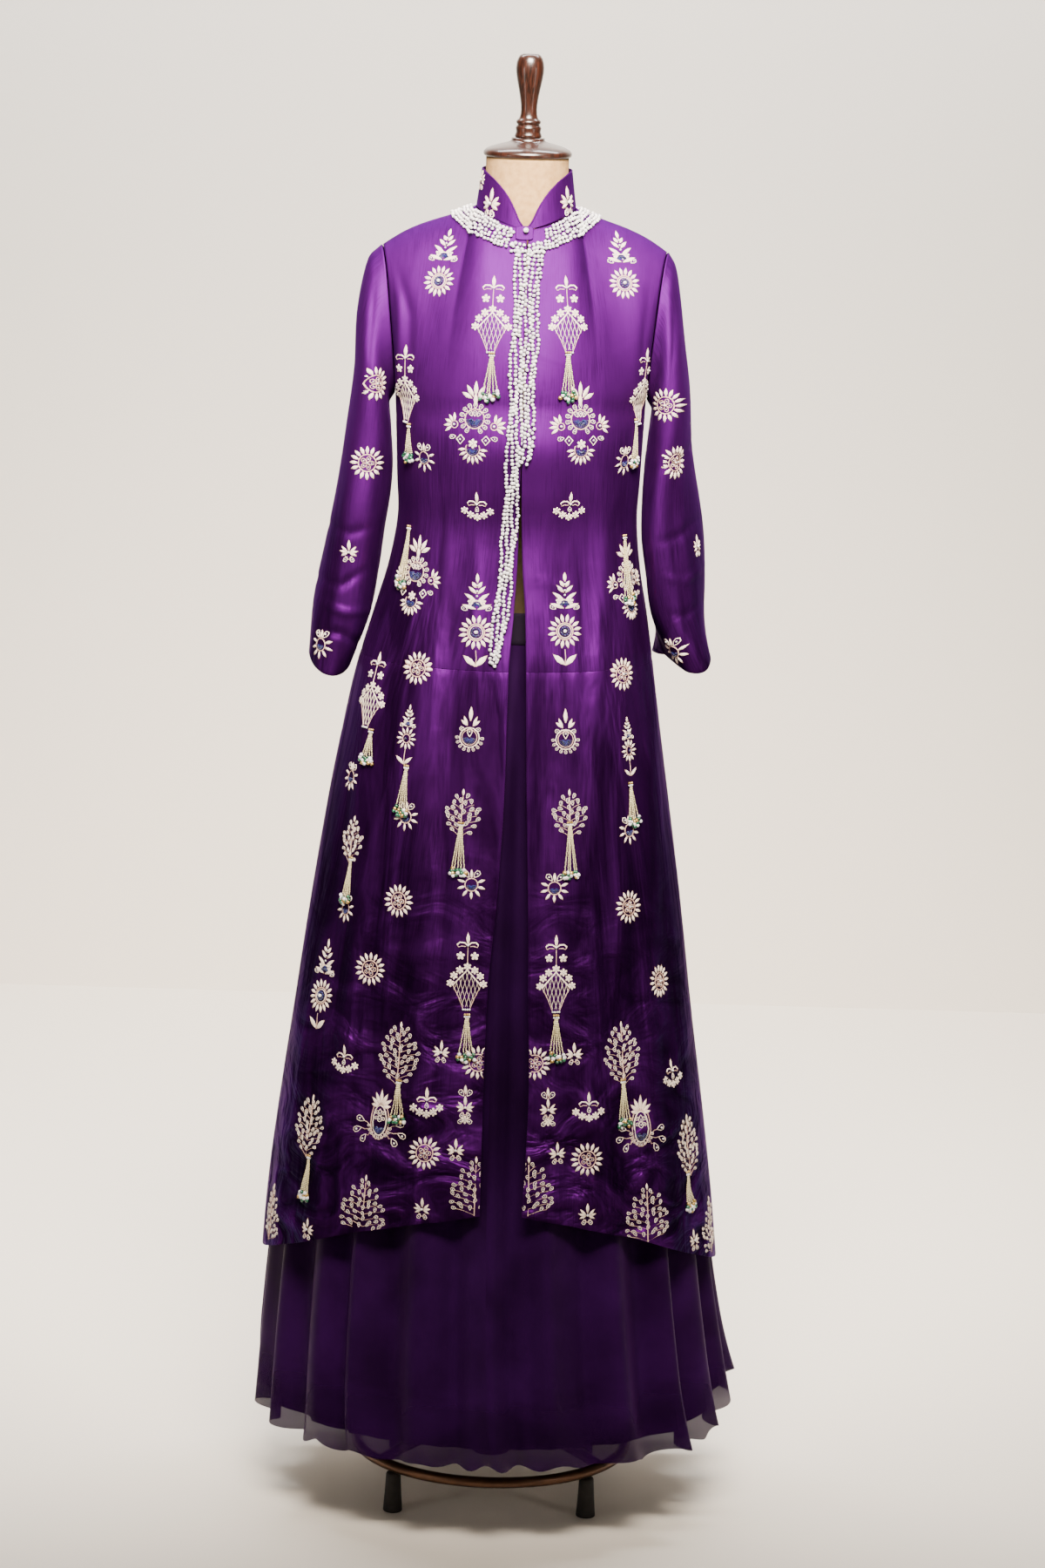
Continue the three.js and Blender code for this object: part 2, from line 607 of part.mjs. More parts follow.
function makeCollar() {
  const us = [...QUARTER_ANGLES, 180, ...QUARTER_ANGLES.map((a) => 360 - a).reverse()];
  const vs = [0, 0.5, 1];
  const geometry = wall({ us, vs, point: collarPoint, thickness: COLLAR_WALL });
  addMesh("collar", geometry, satin);
  const tab = wall({
    us: steps(5),
    vs: steps(2),
    point: (u, v) => {
      const round = 2.2 * Math.abs(2 * u - 1) ** 4;
      const z = lerp(TAB.low + round, TAB.high - round, v);
      return V(lerp(TAB.left, TAB.right, u), tabDepth(z), z);
    },
    thickness: 1.4,
  });
  addMesh("neck_tab", tab, satin);
  const button = new THREE.SphereGeometry(BUTTON.radius, 10, 7);
  button.translate(BUTTON.x, tabDepth(BUTTON.z) - 0.7 - 2 * SEAM - BUTTON.radius, BUTTON.z);
  addMesh("neck_button", button, pearls);
}

// ---------------------------------------------------------------- the skirt

const WAIST_OUT = SEAM + WAISTBAND_WALL / 2; // from the form to the middle of the band

// The outer skirt's sections, with the mean radius of its folds, and the folds' half depth.
const SKIRT = [
  { z: 104, half: 290, front: 263, back: 263, shift: 3, fold: 15 },
  { z: 175, half: 283, front: 252, back: 252, shift: -2, fold: 14 },
  { z: 240, half: 277, front: 242, back: 242, shift: -5, fold: 12.5 },
  { z: 300, half: 271, front: 233, back: 233, shift: -7, fold: 11.5 },
  { z: 400, half: 261, front: 224, back: 223, shift: -9, fold: 10 },
  { z: 497, half: 249, front: 214, back: 211, shift: -10, fold: 9 },
  { z: 633, half: 231, front: 198, back: 193, shift: -10, fold: 8 },
  { z: 768, half: 212, front: 180, back: 174, shift: -9, fold: 7 },
  { z: 902, half: 192, front: 158, back: 152, shift: -7, fold: 5.5 },
  { z: 1000, half: 175, front: 137, back: 136, shift: -3, fold: 4 },
  { z: 1060, half: 163, front: 121, back: 122, shift: -1, fold: 2.5 },
  { z: 1108, half: 150, front: 107, back: 107, shift: 0, fold: 0 },
];
const SKIRT_KICK = { angle: 92, width: 19, lift: 40, flare: 15 }; // the hem swings out at one side
const SKIRT_FOLDS = 22;
const COLUMNS_PER_FOLD = 4;
const SKIRT_TOP = WAISTBAND.low - 2 * SEAM;
const OUTER_HEM = 106;
const LINING_HEM = 129;
const LAYER_SPACE = 2; // between the two layers at the waistband
const LINING_INSET = 7; // between the two layers at the hem

// A fixed uneven value from 0 to 1 for each fold.
const uneven = (k) => {
  const n = Math.sin((k % SKIRT_FOLDS) * 12.9898 + 4.1) * 43758.5453;
  return n - Math.floor(n);
};

// u counts folds round the skirt from the front. Each fold has its own width and depth.
function foldAngle(u) {
  const k = Math.floor(u);
  const spot = (n) => n + 0.42 * (uneven((n + SKIRT_FOLDS) % SKIRT_FOLDS) - 0.5);
  return (lerp(spot(k), spot(k + 1), u - k) * 2 * Math.PI) / SKIRT_FOLDS;
}

function foldDepth(u) {
  const k = Math.floor(u);
  const own = (n) => 0.65 + 0.6 * uneven((n + SKIRT_FOLDS) % SKIRT_FOLDS);
  return lerp(own(k), own(k + 1), u - k);
}

function skirtPoint(u, v, hem, atWaist, atHem, share) {
  const wave = Math.cos(2 * Math.PI * u);
  const depth = foldDepth(u);
  const angle = foldAngle(u);
  const kick = Math.exp(-(((radToDeg(angle) - SKIRT_KICK.angle) / SKIRT_KICK.width) ** 2));
  const z = lerp(SKIRT_TOP, hem + 3.5 * depth * wave + SKIRT_KICK.lift * kick, v);
  const fallen = clamp((SKIRT_TOP - z) / (SKIRT_TOP - OUTER_HEM), 0, 1);
  const fold = lookUp(SKIRT, "z", z, "fold") * depth * wave * share;
  const out = fold + SKIRT_KICK.flare * kick * fallen ** 8;
  const inset = lerp(atWaist, atHem, Math.min(fallen * 4, 1));
  const [half, front, back] = ["half", "front", "back"].map(
    (k) => lookUp(SKIRT, "z", z, k) + out - inset,
  );
  const [x, y] = ovalPoint(angle, half, front, back, 0.9);
  const hung = V(x + lookUp(SKIRT, "z", z, "shift"), y, z);
  const waist = formPoint(angle, z, WAIST_OUT - atWaist);
  return waist.lerp(hung, smoothstep(fallen, 0, 0.035));
}

function makeSkirt() {
  const band = wall({
    us: steps(2 * FORM_SIDES, 0, 2 * Math.PI).slice(0, -1),
    vs: [WAISTBAND.low, WAISTBAND.high],
    point: (angle, z) => formPoint(angle, z, WAIST_OUT),
    thickness: WAISTBAND_WALL,
    loop: true,
  });
  addMesh("skirt_waistband", band, crepe);
  const us = steps(SKIRT_FOLDS * COLUMNS_PER_FOLD, SKIRT_FOLDS, 0).slice(0, -1);
  const layer = { us, thickness: GEORGETTE_WALL, loop: true };
  const outer = wall({
    ...layer,
    vs: [0, 0.04, 0.1, 0.2, 0.36, 0.54, 0.72, 0.87, 1],
    point: (u, v) => skirtPoint(u, v, OUTER_HEM, -LAYER_SPACE / 2, -LAYER_SPACE / 2, 1),
  });
  addMesh("skirt_outer", outer, georgette);
  const lining = wall({
    ...layer,
    vs: [0, 0.04, 0.12, 0.36, 0.68, 1],
    point: (u, v) => skirtPoint(u, v, LINING_HEM, LAYER_SPACE / 2, LINING_INSET, 0.78),
  });
  addMesh("skirt_lining", lining, crepe);
}

// ---------------------------------------------------------------- the tassels on the fronts

// Where each tassel's head sits on the fronts, as x and z, how long it hangs, and how much further
// it stands off the cloth where the waist is hollow.
const TASSELS = [
  [-36, 1463, 51], [55, 1466, 52], [-133, 1369, 41], [139, 1381, 52], [-130, 1243, 70, 2.1],
  [130, 1239, 78, 1.5], [-170, 996, 38], [-125, 960, 57], [146, 941, 47], [-57, 898, 61],
  [74, 900, 63], [-190, 839, 52], [-44, 667, 52], [64, 668, 52, 0.3], [-124, 581, 48],
  [148, 583, 53], [-233, 469, 51], [233, 452, 45],
];
const STRANDS = [-1, 0, 1];
const TASSEL_LIFT = 0.3; // clear of the facets of the cloth beneath

// The place on a front at this x and z, found by halving, and the cloth's outward direction there.
function onFront(x, z) {
  const side = x > FRONT_EDGES[FRONT_EDGES.length - 1].left ? 1 : -1;
  let [u, v] = [0.5, 1];
  for (let round = 0; round < 8; round++) {
    let [low, high] = [0, 2];
    for (let i = 0; i < 24; i++) {
      v = (low + high) / 2;
      if (frontPoint(side, u, v).z < z) low = v;
      else high = v;
    }
    [low, high] = [0, 1];
    for (let i = 0; i < 24; i++) {
      u = (low + high) / 2;
      if (frontPoint(side, u, v).x * side < x * side) low = u;
      else high = u;
    }
  }
  const along = frontPoint(side, Math.min(u + 0.01, 1), v).sub(frontPoint(side, u - 0.01, v));
  const up = frontPoint(side, u, v + 0.01).sub(frontPoint(side, u, v - 0.01));
  const out = along.cross(up).multiplyScalar(side).normalize();
  return { point: frontPoint(side, u, v), out };
}

function ringAt(x, z, radius, sides, off) {
  const { point, out } = onFront(x, z);
  const centre = point.addScaledVector(out, JACKET_WALL / 2 + SEAM + TASSEL_LIFT + off + radius);
  const across = V(0, 0, 1).cross(out).normalize();
  return steps(sides, 0, 2 * Math.PI)
    .slice(0, -1)
    .map((a) =>
      centre
        .clone()
        .addScaledVector(across, radius * Math.cos(a))
        .addScaledVector(out, -radius * Math.sin(a)),
    );
}

const STRAND_SECTIONS = [
  [0, 1.2], [0.8, 1.2], [0.89, 3], [1, 0.9],
];
const HEAD_SECTIONS = [
  [-4.5, 1.2], [0, 3.6], [5, 1.8],
];

function makeTassel(name, x, z, length, off = 0) {
  const body = (sections) => toSolid(skin(sections));
  let tassel = body(HEAD_SECTIONS.map(([drop, radius]) => ringAt(x, z - drop, radius, 4, off)).reverse());
  for (const k of STRANDS) {
    const end = length - 3 * Math.abs(k);
    const rings = STRAND_SECTIONS.map(([t, radius]) =>
      ringAt(x + k * lerp(0.9, 5.6, t), z - t * end, radius, 3, off),
    );
    tassel = tassel.add(body(rings.reverse()));
  }
  addMesh(name, fromSolid(tassel), beads);
}

makeForm();
turned("form_neck_cap", CAP_PROFILE, NECK_TOP + SEAM, 20, darkWood);
turned("form_finial", FINIAL_PROFILE, NECK_TOP + 23 + 2 * SEAM, 12, darkWood);
makeStand();
makeBody();
makeSleeve("sleeve_right", RIGHT_SLEEVE, 1);
makeSleeve("sleeve_left", LEFT_SLEEVE, -1);
makeCollar();
makeSkirt();
TASSELS.forEach(([x, z, length, off], i) => makeTassel(`tassel_${i + 1}`, x, z, length, off));

export default group;
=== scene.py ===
import math
import bmesh
import bpy
import numpy as np
from mathutils import Matrix, Vector
from mathutils.bvhtree import BVHTree


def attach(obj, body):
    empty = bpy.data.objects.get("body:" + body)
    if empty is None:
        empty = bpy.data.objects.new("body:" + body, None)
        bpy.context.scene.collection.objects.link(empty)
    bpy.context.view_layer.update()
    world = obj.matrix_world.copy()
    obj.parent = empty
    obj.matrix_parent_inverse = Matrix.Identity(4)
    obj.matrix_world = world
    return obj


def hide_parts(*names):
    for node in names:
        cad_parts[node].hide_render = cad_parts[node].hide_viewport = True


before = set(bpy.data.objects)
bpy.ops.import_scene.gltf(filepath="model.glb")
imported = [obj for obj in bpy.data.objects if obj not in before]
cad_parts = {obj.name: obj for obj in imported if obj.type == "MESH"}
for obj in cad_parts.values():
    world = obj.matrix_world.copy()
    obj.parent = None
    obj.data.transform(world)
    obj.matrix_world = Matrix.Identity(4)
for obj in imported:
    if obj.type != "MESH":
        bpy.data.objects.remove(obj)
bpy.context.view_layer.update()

# ---------------------------------------------------------------- the camera
# It stands about six metres in front of the garment, a little above the collar, looks down at it
# and is held very slightly out of level.
EYE = Vector((0.0, -5.86, 2.077))
FOCUS = 5491.0  # the lens's focal length, in pixels of an image 1200 wide and 1800 high
MIDDLE = (585.3, 900.0)  # where the lens looks straight ahead, in the same pixels
camera_data = bpy.data.cameras.new("camera")
camera_data.sensor_width = 36.0
camera_data.lens = FOCUS / 1800 * 36
camera_data.shift_x = (600 - MIDDLE[0]) / 1800
camera = bpy.data.objects.new("camera", camera_data)
camera.matrix_world = (
    Matrix.Translation(EYE)
    @ Matrix.Rotation(math.radians(90 - 11.23), 4, "X")
    @ Matrix.Rotation(math.radians(1.64), 4, "Z")
)
bpy.context.collection.objects.link(camera)
bpy.context.scene.camera = camera
LOOK = np.array(camera.matrix_world.to_3x3())


def in_image(points):
    """Where points in millimetres come in the camera's image, in its pixels."""
    seen = (points / 1000 - np.array(EYE)) @ LOOK
    px = MIDDLE[0] + FOCUS * seen[..., 0] / -seen[..., 2]
    py = MIDDLE[1] - FOCUS * seen[..., 1] / -seen[..., 2]
    return px, py


# ---------------------------------------------------------------- the padded form
# A limbless women's form, padded and covered in a coarse beige linen. Its neck shows above the
# jacket's collar, and its waist shows a little where the fronts part.
FORM = np.array([
    # z, half width, front, back, squareness
    (905, 138, 94, 98, 0.92), (918, 150, 106, 110, 0.92), (1000, 158, 112, 117, 0.92),
    (1080, 153, 108, 110, 0.92), (1142, 140, 100, 97, 0.92), (1200, 125, 91, 82, 0.92),
    (1250, 119, 88, 77, 0.92), (1300, 125, 98, 80, 0.92), (1350, 136, 116, 84, 0.92),
    (1400, 140, 110, 84, 0.92), (1450, 144, 92, 82, 0.95), (1500, 148, 77, 75, 1),
    (1540, 151, 64, 63, 1.1), (1576, 151, 53, 51, 1.4), (1595, 134, 49, 48, 1.7),
    (1607.5, 109, 47, 48, 1.85), (1618.5, 70.5, 49, 50, 1.6), (1630, 55, 50, 51, 1.05),
    (1642, 51.5, 50, 50.5, 1), (1662, 50.5, 50, 50, 1), (1692, 50.5, 50.5, 50.5, 1),
])


def along(table, column, place):
    """A smooth value of one column of a table at a place along its first column."""
    x, y = table[:, 0], table[:, column]
    slope = np.empty(len(y))
    slope[1:-1] = (y[2:] - y[:-2]) / (x[2:] - x[:-2])
    slope[0] = (y[1] - y[0]) / (x[1] - x[0])
    slope[-1] = (y[-1] - y[-2]) / (x[-1] - x[-2])
    place = np.clip(place, x[0], x[-1])
    i = np.clip(np.searchsorted(x, place) - 1, 0, len(x) - 2)
    width = x[i + 1] - x[i]
    t = (place - x[i]) / width
    return (
        (2 * t**3 - 3 * t**2 + 1) * y[i]
        + (t**3 - 2 * t**2 + t) * width * slope[i]
        + (3 * t**2 - 2 * t**3) * y[i + 1]
        + (t**3 - t**2) * width * slope[i + 1]
    )


def smooth(x, low, high):
    """Rises evenly from 0 at low to 1 at high, with soft ends."""
    t = np.clip((x - low) / (high - low), 0, 1)
    return t * t * (3 - 2 * t)


def oval(angle, half, front, back, square):
    """A level of a body, with its own depth in front and at the back. Angle 0 is in front."""
    c = np.cos(angle)
    return half * np.sin(angle), np.where(c > 0, -front, back) * np.abs(c) ** square


def form_surface(angle, z, out=0.0):
    """Points of the form at some heights, or of cloth that lies this far out from it."""
    half, front, back = (along(FORM, k, z) + out for k in (1, 2, 3))
    x, y = oval(angle, half, front, back, along(FORM, 4, z))
    return np.stack([x, y, z + 0 * x], axis=-1)


def add_object(name, mesh, slot, *nodes):
    """Puts a finished mesh in the scene, riding on the one body, in place of its CAD nodes."""
    piece = bpy.data.objects.new(name, mesh)
    bpy.context.collection.objects.link(piece)
    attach(piece, "root")
    if nodes:
        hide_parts(*nodes)
    return piece


def mesh_of(bm, name, *materials):
    """Turns a finished bmesh into a mesh in these materials."""
    mesh = bpy.data.meshes.new(name)
    bm.to_mesh(mesh)
    bm.free()
    for material in materials:
        mesh.materials.append(material)
    return mesh


def grid_mesh(name, points, material, size, ring=False, caps=False):
    """A sheet shaped to rows of points in millimetres. Its UV map is its size in metres."""
    rows, columns = points.shape[:2]
    bm = bmesh.new()
    bm.loops.layers.uv.new("UVMap")
    bmesh.ops.create_grid(
        bm, x_segments=columns - 1, y_segments=rows - 1, size=0.5, calc_uvs=True
    )
    uv = bm.loops.layers.uv.active
    for face in bm.faces:
        face.smooth = True
        for corner in face.loops:
            corner[uv].uv = (corner[uv].uv.x * size[0], corner[uv].uv.y * size[1])
    for vert, point in zip(bm.verts, points.reshape(-1, 3) / 1000):
        vert.co = point
    if ring:
        bmesh.ops.remove_doubles(bm, verts=bm.verts, dist=1e-6)
    if caps:
        bmesh.ops.holes_fill(bm, edges=bm.edges, sides=0)
    return mesh_of(bm, name, material)


def linear(colour):
    """An sRGB hex colour as linear red, green, blue and alpha."""
    parts = [int(colour[i : i + 2], 16) / 255 for i in (1, 3, 5)]
    return [p / 12.92 if p <= 0.04045 else ((p + 0.055) / 1.055) ** 2.4 for p in parts] + [1.0]


def add_node(tree, kind, inputs=None, **settings):
    """Adds a node with its settings, its values and its links."""
    made = tree.nodes.new(kind)
    for key, value in settings.items():
        setattr(made, key, value)
    for socket, value in (inputs or {}).items():
        if isinstance(value, bpy.types.NodeSocket):
            tree.links.new(value, made.inputs[socket])
        else:
            made.inputs[socket].default_value = value
    return made


def new_material(name, **values):
    """A material with its Principled shader, which starts from these values."""
    material = bpy.data.materials.new(name)
    material.use_nodes = True
    shader = material.node_tree.nodes["Principled BSDF"]
    for socket, value in values.items():
        shader.inputs[socket.replace("_", " ")].default_value = value
    return material, material.node_tree, shader


# Linen: matte, in a plain weave of about 1.4 threads to the millimetre, drawn at one thread a
# millimetre so that it shows. Below the bust its colour is painted far darker, a painted shade for
# where the jacket keeps the light from it.
linen, tree, shader = new_material("beige_linen", Roughness=0.95, Specular_IOR_Level=0.2)
place = add_node(tree, "ShaderNodeTexCoord").outputs["Object"]
warp = add_node(
    tree, "ShaderNodeTexWave", {"Vector": place, "Scale": 320.0, "Distortion": 1.2},
    bands_direction="X",
)
weft = add_node(
    tree, "ShaderNodeTexWave", {"Vector": place, "Scale": 320.0, "Distortion": 1.2},
    bands_direction="Z",
)
weave = add_node(
    tree, "ShaderNodeMath", {0: warp.outputs["Fac"], 1: weft.outputs["Fac"]}, operation="MULTIPLY"
)
slub = add_node(tree, "ShaderNodeTexNoise", {"Vector": place, "Scale": 140.0, "Detail": 4.0})
tone = add_node(
    tree, "ShaderNodeMath", {0: weave.outputs[0], 1: slub.outputs["Fac"]}, operation="ADD"
)
ramp = add_node(tree, "ShaderNodeValToRGB", {"Fac": tone.outputs[0]})
ramp.color_ramp.elements[0].position = 0.35
ramp.color_ramp.elements[0].color = linear("#8f6a40")
ramp.color_ramp.elements[1].position = 1.1
ramp.color_ramp.elements[1].color = linear("#bd986a")
height_of = add_node(tree, "ShaderNodeSeparateXYZ", {"Vector": place}).outputs["Z"]
# Painted shade: under about 1.3 m the linen's colour drops to a small share of its value.
painted_linen_shade = add_node(
    tree, "ShaderNodeMapRange",
    {"Value": height_of, "From Min": 1.3, "From Max": 1.42, "To Min": 0.07, "To Max": 1.0},
)
linen_with_painted_shade = add_node(
    tree, "ShaderNodeHueSaturation", {"Color": ramp.outputs["Color"], "Value": painted_linen_shade.outputs[0]}
)
tree.links.new(linen_with_painted_shade.outputs["Color"], shader.inputs["Base Color"])
bump = add_node(
    tree, "ShaderNodeBump", {"Height": tone.outputs[0], "Strength": 0.3, "Distance": 0.0004}
)
tree.links.new(bump.outputs["Normal"], shader.inputs["Normal"])

turn = np.linspace(0, 2 * np.pi, 97)
levels = np.concatenate([np.linspace(905, 1540, 60), np.linspace(1546, 1692, 40)])
torso = grid_mesh(
    "form_linen_body", form_surface(turn[None, :], levels[:, None]), linen, (1, 0.8), True, True
)
add_object("form_linen_body", torso, "linen", "form_torso")

# ---------------------------------------------------------------- the neck cap and its finial
# Hardwood turned on a lathe, stained almost black and lacquered to a gloss. The cap sits on the
# neck, and the finial stands on it.
CAP = [(0, 0), (51, 0), (53.2, 1.2), (54, 3.2), (53.6, 6.2), (51, 9), (46, 11.6), (38, 14.2),
       (31, 16.2), (25, 17.6), (21.5, 19), (20.3, 20.5), (20.3, 22.6), (0, 23)]
FINIAL = [(0, 0), (15.8, 0), (16.6, 1.5), (16, 4), (15, 6.5), (15.2, 9), (15.8, 11.5), (14.6, 14),
          (13.2, 15.2), (14.4, 16.6), (15.3, 18.6), (14.4, 20.8), (12.2, 22.4), (11, 24.6),
          (10.2, 28), (9.8, 33), (10, 39), (10.8, 45), (12, 52), (13.8, 61), (15.6, 70),
          (16.9, 78), (17.2, 84), (16.5, 90.5), (14.9, 95.5), (12.6, 99), (9.6, 100.8), (0, 101)]
wood, tree, shader = new_material(
    "lacquered_dark_wood", Roughness=0.3, Coat_Weight=0.35, Coat_Roughness=0.12, IOR=1.5
)
place = add_node(tree, "ShaderNodeTexCoord").outputs["Object"]
grain_room = add_node(tree, "ShaderNodeMapping", {"Vector": place, "Scale": (1.0, 1.0, 0.12)})
grain = add_node(
    tree, "ShaderNodeTexNoise",
    {"Vector": grain_room.outputs[0], "Scale": 420.0, "Detail": 6.0, "Distortion": 0.6},
)
ramp = add_node(tree, "ShaderNodeValToRGB", {"Fac": grain.outputs["Fac"]})
ramp.color_ramp.elements[0].position = 0.35
ramp.color_ramp.elements[0].color = linear("#130805")
ramp.color_ramp.elements[1].position = 0.75
ramp.color_ramp.elements[1].color = linear("#3a1c12")
tree.links.new(ramp.outputs["Color"], shader.inputs["Base Color"])
bump = add_node(
    tree, "ShaderNodeBump", {"Height": grain.outputs["Fac"], "Strength": 0.12, "Distance": 0.0003}
)
tree.links.new(bump.outputs["Normal"], shader.inputs["Normal"])


def turned(name, profile, base, material, steps=72):
    """A piece turned on a lathe from a profile of radius and height in millimetres."""
    bm = bmesh.new()
    verts = [bm.verts.new((r / 1000, 0, (base + h) / 1000)) for r, h in profile]
    edges = [bm.edges.new(pair) for pair in zip(verts, verts[1:])]
    bmesh.ops.spin(
        bm, geom=verts + edges, cent=(0, 0, 0), axis=(0, 0, 1), angle=2 * math.pi,
        steps=steps, use_merge=True,
    )
    bmesh.ops.remove_doubles(bm, verts=bm.verts, dist=1e-6)
    bmesh.ops.recalc_face_normals(bm, faces=bm.faces)
    for face in bm.faces:
        face.smooth = True
    return mesh_of(bm, name, material)


NECK_TOP = 1692.0  # millimetres above the floor
for name, profile, base, node in (
    ("neck_cap", CAP, NECK_TOP + 0.3, "form_neck_cap"),
    ("finial", FINIAL, NECK_TOP + 23.6, "form_finial"),
):
    add_object(name, turned(name, profile, base, wood), "dark_wood", node)

# ---------------------------------------------------------------- the stand
# A steel pole on a hub with four arms and a round ring, all of bent and welded tube in a worn
# bronze enamel, on four black rubber feet.
RING = {"radius": 172.0, "tube": 7.0, "height": 58.0}
# The profiles are a radius and a height for each corner, in millimetres.
HUB = [(0, 42), (23, 42), (26, 45), (26, 101), (23, 104), (17, 105.5), (0, 105.5)]
POLE = [(0, 62.3), (15, 62.3), (15, 904.7), (0, 904.7)]
FOOT = [(0, 0), (11, 0), (12, 1), (12, 3), (10.6, 22), (9.2, 48.5), (8.2, 50.6), (0, 50.6)]
ARM = [(20, 84.0), (60, 82.0), (100, 78.0), (140, 69.0), (172, 58.0)]
bronze, tree, shader = new_material("bronze_enamel", Metallic=0.75, Roughness=0.34)
place = add_node(tree, "ShaderNodeTexCoord").outputs["Object"]
wear = add_node(tree, "ShaderNodeTexNoise", {"Vector": place, "Scale": 38.0, "Detail": 6.0})
ramp = add_node(tree, "ShaderNodeValToRGB", {"Fac": wear.outputs["Fac"]})
ramp.color_ramp.elements[0].color = linear("#2e1d14")
ramp.color_ramp.elements[1].color = linear("#6a4a34")
tree.links.new(ramp.outputs["Color"], shader.inputs["Base Color"])
rough = add_node(
    tree, "ShaderNodeMapRange", {"Value": wear.outputs["Fac"], "To Min": 0.28, "To Max": 0.5}
)
tree.links.new(rough.outputs[0], shader.inputs["Roughness"])


def tube_mesh(name, lines, radius, resolution=3, cyclic=False):
    """Round tube along lines of points in millimetres, each made a curve and then a mesh."""
    curve = bpy.data.curves.new(name, "CURVE")
    curve.dimensions = "3D"
    curve.bevel_depth = radius / 1000
    curve.bevel_resolution = resolution
    curve.use_fill_caps = True
    for line in lines:
        spline = curve.splines.new("POLY")
        spline.points.add(len(line) - 1)
        spline.use_cyclic_u = cyclic
        for spot, point in zip(spline.points, line):
            spot.co = (*(np.asarray(point) / 1000), 1)
    holder = bpy.data.objects.new(name, curve)
    bpy.context.collection.objects.link(holder)
    mesh = bpy.data.meshes.new_from_object(
        holder.evaluated_get(bpy.context.evaluated_depsgraph_get())
    )
    bpy.data.objects.remove(holder)
    bpy.data.curves.remove(curve)
    mesh.shade_smooth()
    return mesh


angles = np.linspace(0, 2 * np.pi, 121)[:-1]
ring_line = [
    (RING["radius"] * math.cos(a), RING["radius"] * math.sin(a), RING["height"]) for a in angles
]
arm_lines = []
for degrees in (36, 144, -36, -144):
    a = math.radians(degrees)
    arm_lines.append([(r * math.cos(a), r * math.sin(a), h) for r, h in ARM])
base = bmesh.new()
for part in (
    tube_mesh("ring", [ring_line], RING["tube"], 6, True),
    tube_mesh("arms", arm_lines, RING["tube"], 4),
    turned("hub", HUB, 0, bronze),
):
    base.from_mesh(part)
add_object("stand_ring_base", mesh_of(base, "stand_ring_base", bronze), "bronze", "stand_base")
pole = turned("stand_tube_pole", POLE, 0, bronze, 48)
add_object("stand_tube_pole", pole, "bronze", "stand_pole")

# Rubber: matt black, moulded.
rubber, tree, shader = new_material("black_rubber", Roughness=0.7, Specular_IOR_Level=0.3)
place = add_node(tree, "ShaderNodeTexCoord").outputs["Object"]
scuff = add_node(tree, "ShaderNodeTexNoise", {"Vector": place, "Scale": 90.0, "Detail": 5.0})
ramp = add_node(tree, "ShaderNodeValToRGB", {"Fac": scuff.outputs["Fac"]})
ramp.color_ramp.elements[0].color = linear("#0d0b0a")
ramp.color_ramp.elements[1].color = linear("#2a2522")
tree.links.new(ramp.outputs["Color"], shader.inputs["Base Color"])
for k in range(4):
    foot = turned(f"rubber_foot_{k + 1}", FOOT, 0, rubber, 32)
    a = k * math.pi / 2 + math.pi / 4
    foot.transform(Matrix.Translation((0.172 * math.cos(a), 0.172 * math.sin(a), 0)))
    add_object(f"rubber_foot_{k + 1}", foot, "rubber", f"stand_foot_{k + 1}")

# ---------------------------------------------------------------- the jacket's fronts and back
# Heavy silk satin in royal purple, cut in two fronts and a back, lined, and sewn at the sides and
# shoulders. It fits to the waist and falls from there in soft folds to a turned-up hem.
BODY = np.array([
    # z, half width, front, back, shift to one side
    (300, 289, 249, 249, -9), (400, 280, 241, 240, -11), (497, 268, 231, 228, -12),
    (633, 249, 215, 210, -13), (768, 231, 198, 192, -13), (902, 211, 178, 171, -13),
    (980, 198, 164, 156, -12), (1055, 185, 150, 141, -10), (1130, 169, 134, 124, -5),
    (1190, 155, 123, 109, -2), (1250, 147, 118, 98, 0), (1300, 149, 128, 98, 0),
    (1350, 151, 136, 101, 0), (1400, 153, 127, 104, 0),
])
CHEST = 1400.0
WAIST_SEAM = 1080.0
WAIST_LEVEL = 0.69  # the waist seam's share of the height from the hem to the chest
LOWEST = 300.0  # the hem at the middle of the back
# The height of the hem at some angles from the front.
HEM = np.array([(0, 423), (20, 404), (36, 385), (55, 356), (90, 314), (130, 302), (180, 300)])
FOLDS = [
    # the angle of the crest, its half width in degrees, its rise at the hem, where it begins
    (-152, 11, 10, 1060), (-124, 9, 8, 980), (-66, 8, 5, 900), (-47, 7, 9, 1080),
    (-27, 6, 6, 960), (-11, 5, 4, 820), (13, 5, 6, 1000), (29, 6, 8, 1100), (50, 8, 7, 940),
    (71, 6, 4, 860), (118, 10, 9, 1020), (149, 9, 7, 1080), (178, 10, 9, 980),
]
EDGES = np.array([
    # z, left edge, right edge, from the middle
    (400, -20, 27), (560, -20, 32), (700, -18, 28), (810, -10, 25), (930, -5, 20), (1080, -4, 15),
    (1150, 0, 12), (1210, 2.5, 7), (1320, 3, 3), (1400, 3, 3),
])
NECK = {"half": 62.0, "front": 66.0, "back": 60.0, "front_z": 1609.0, "side_z": 1630.0,
        "back_z": 1636.0}
NECK_POINT = np.array((62.0, 4.0, 1630.0))
SHOULDER_TIP = np.array((174.0, 4.0, 1580.0))
SHOULDER_RISE = 10.0
NECK_SHARE = 5 / 12


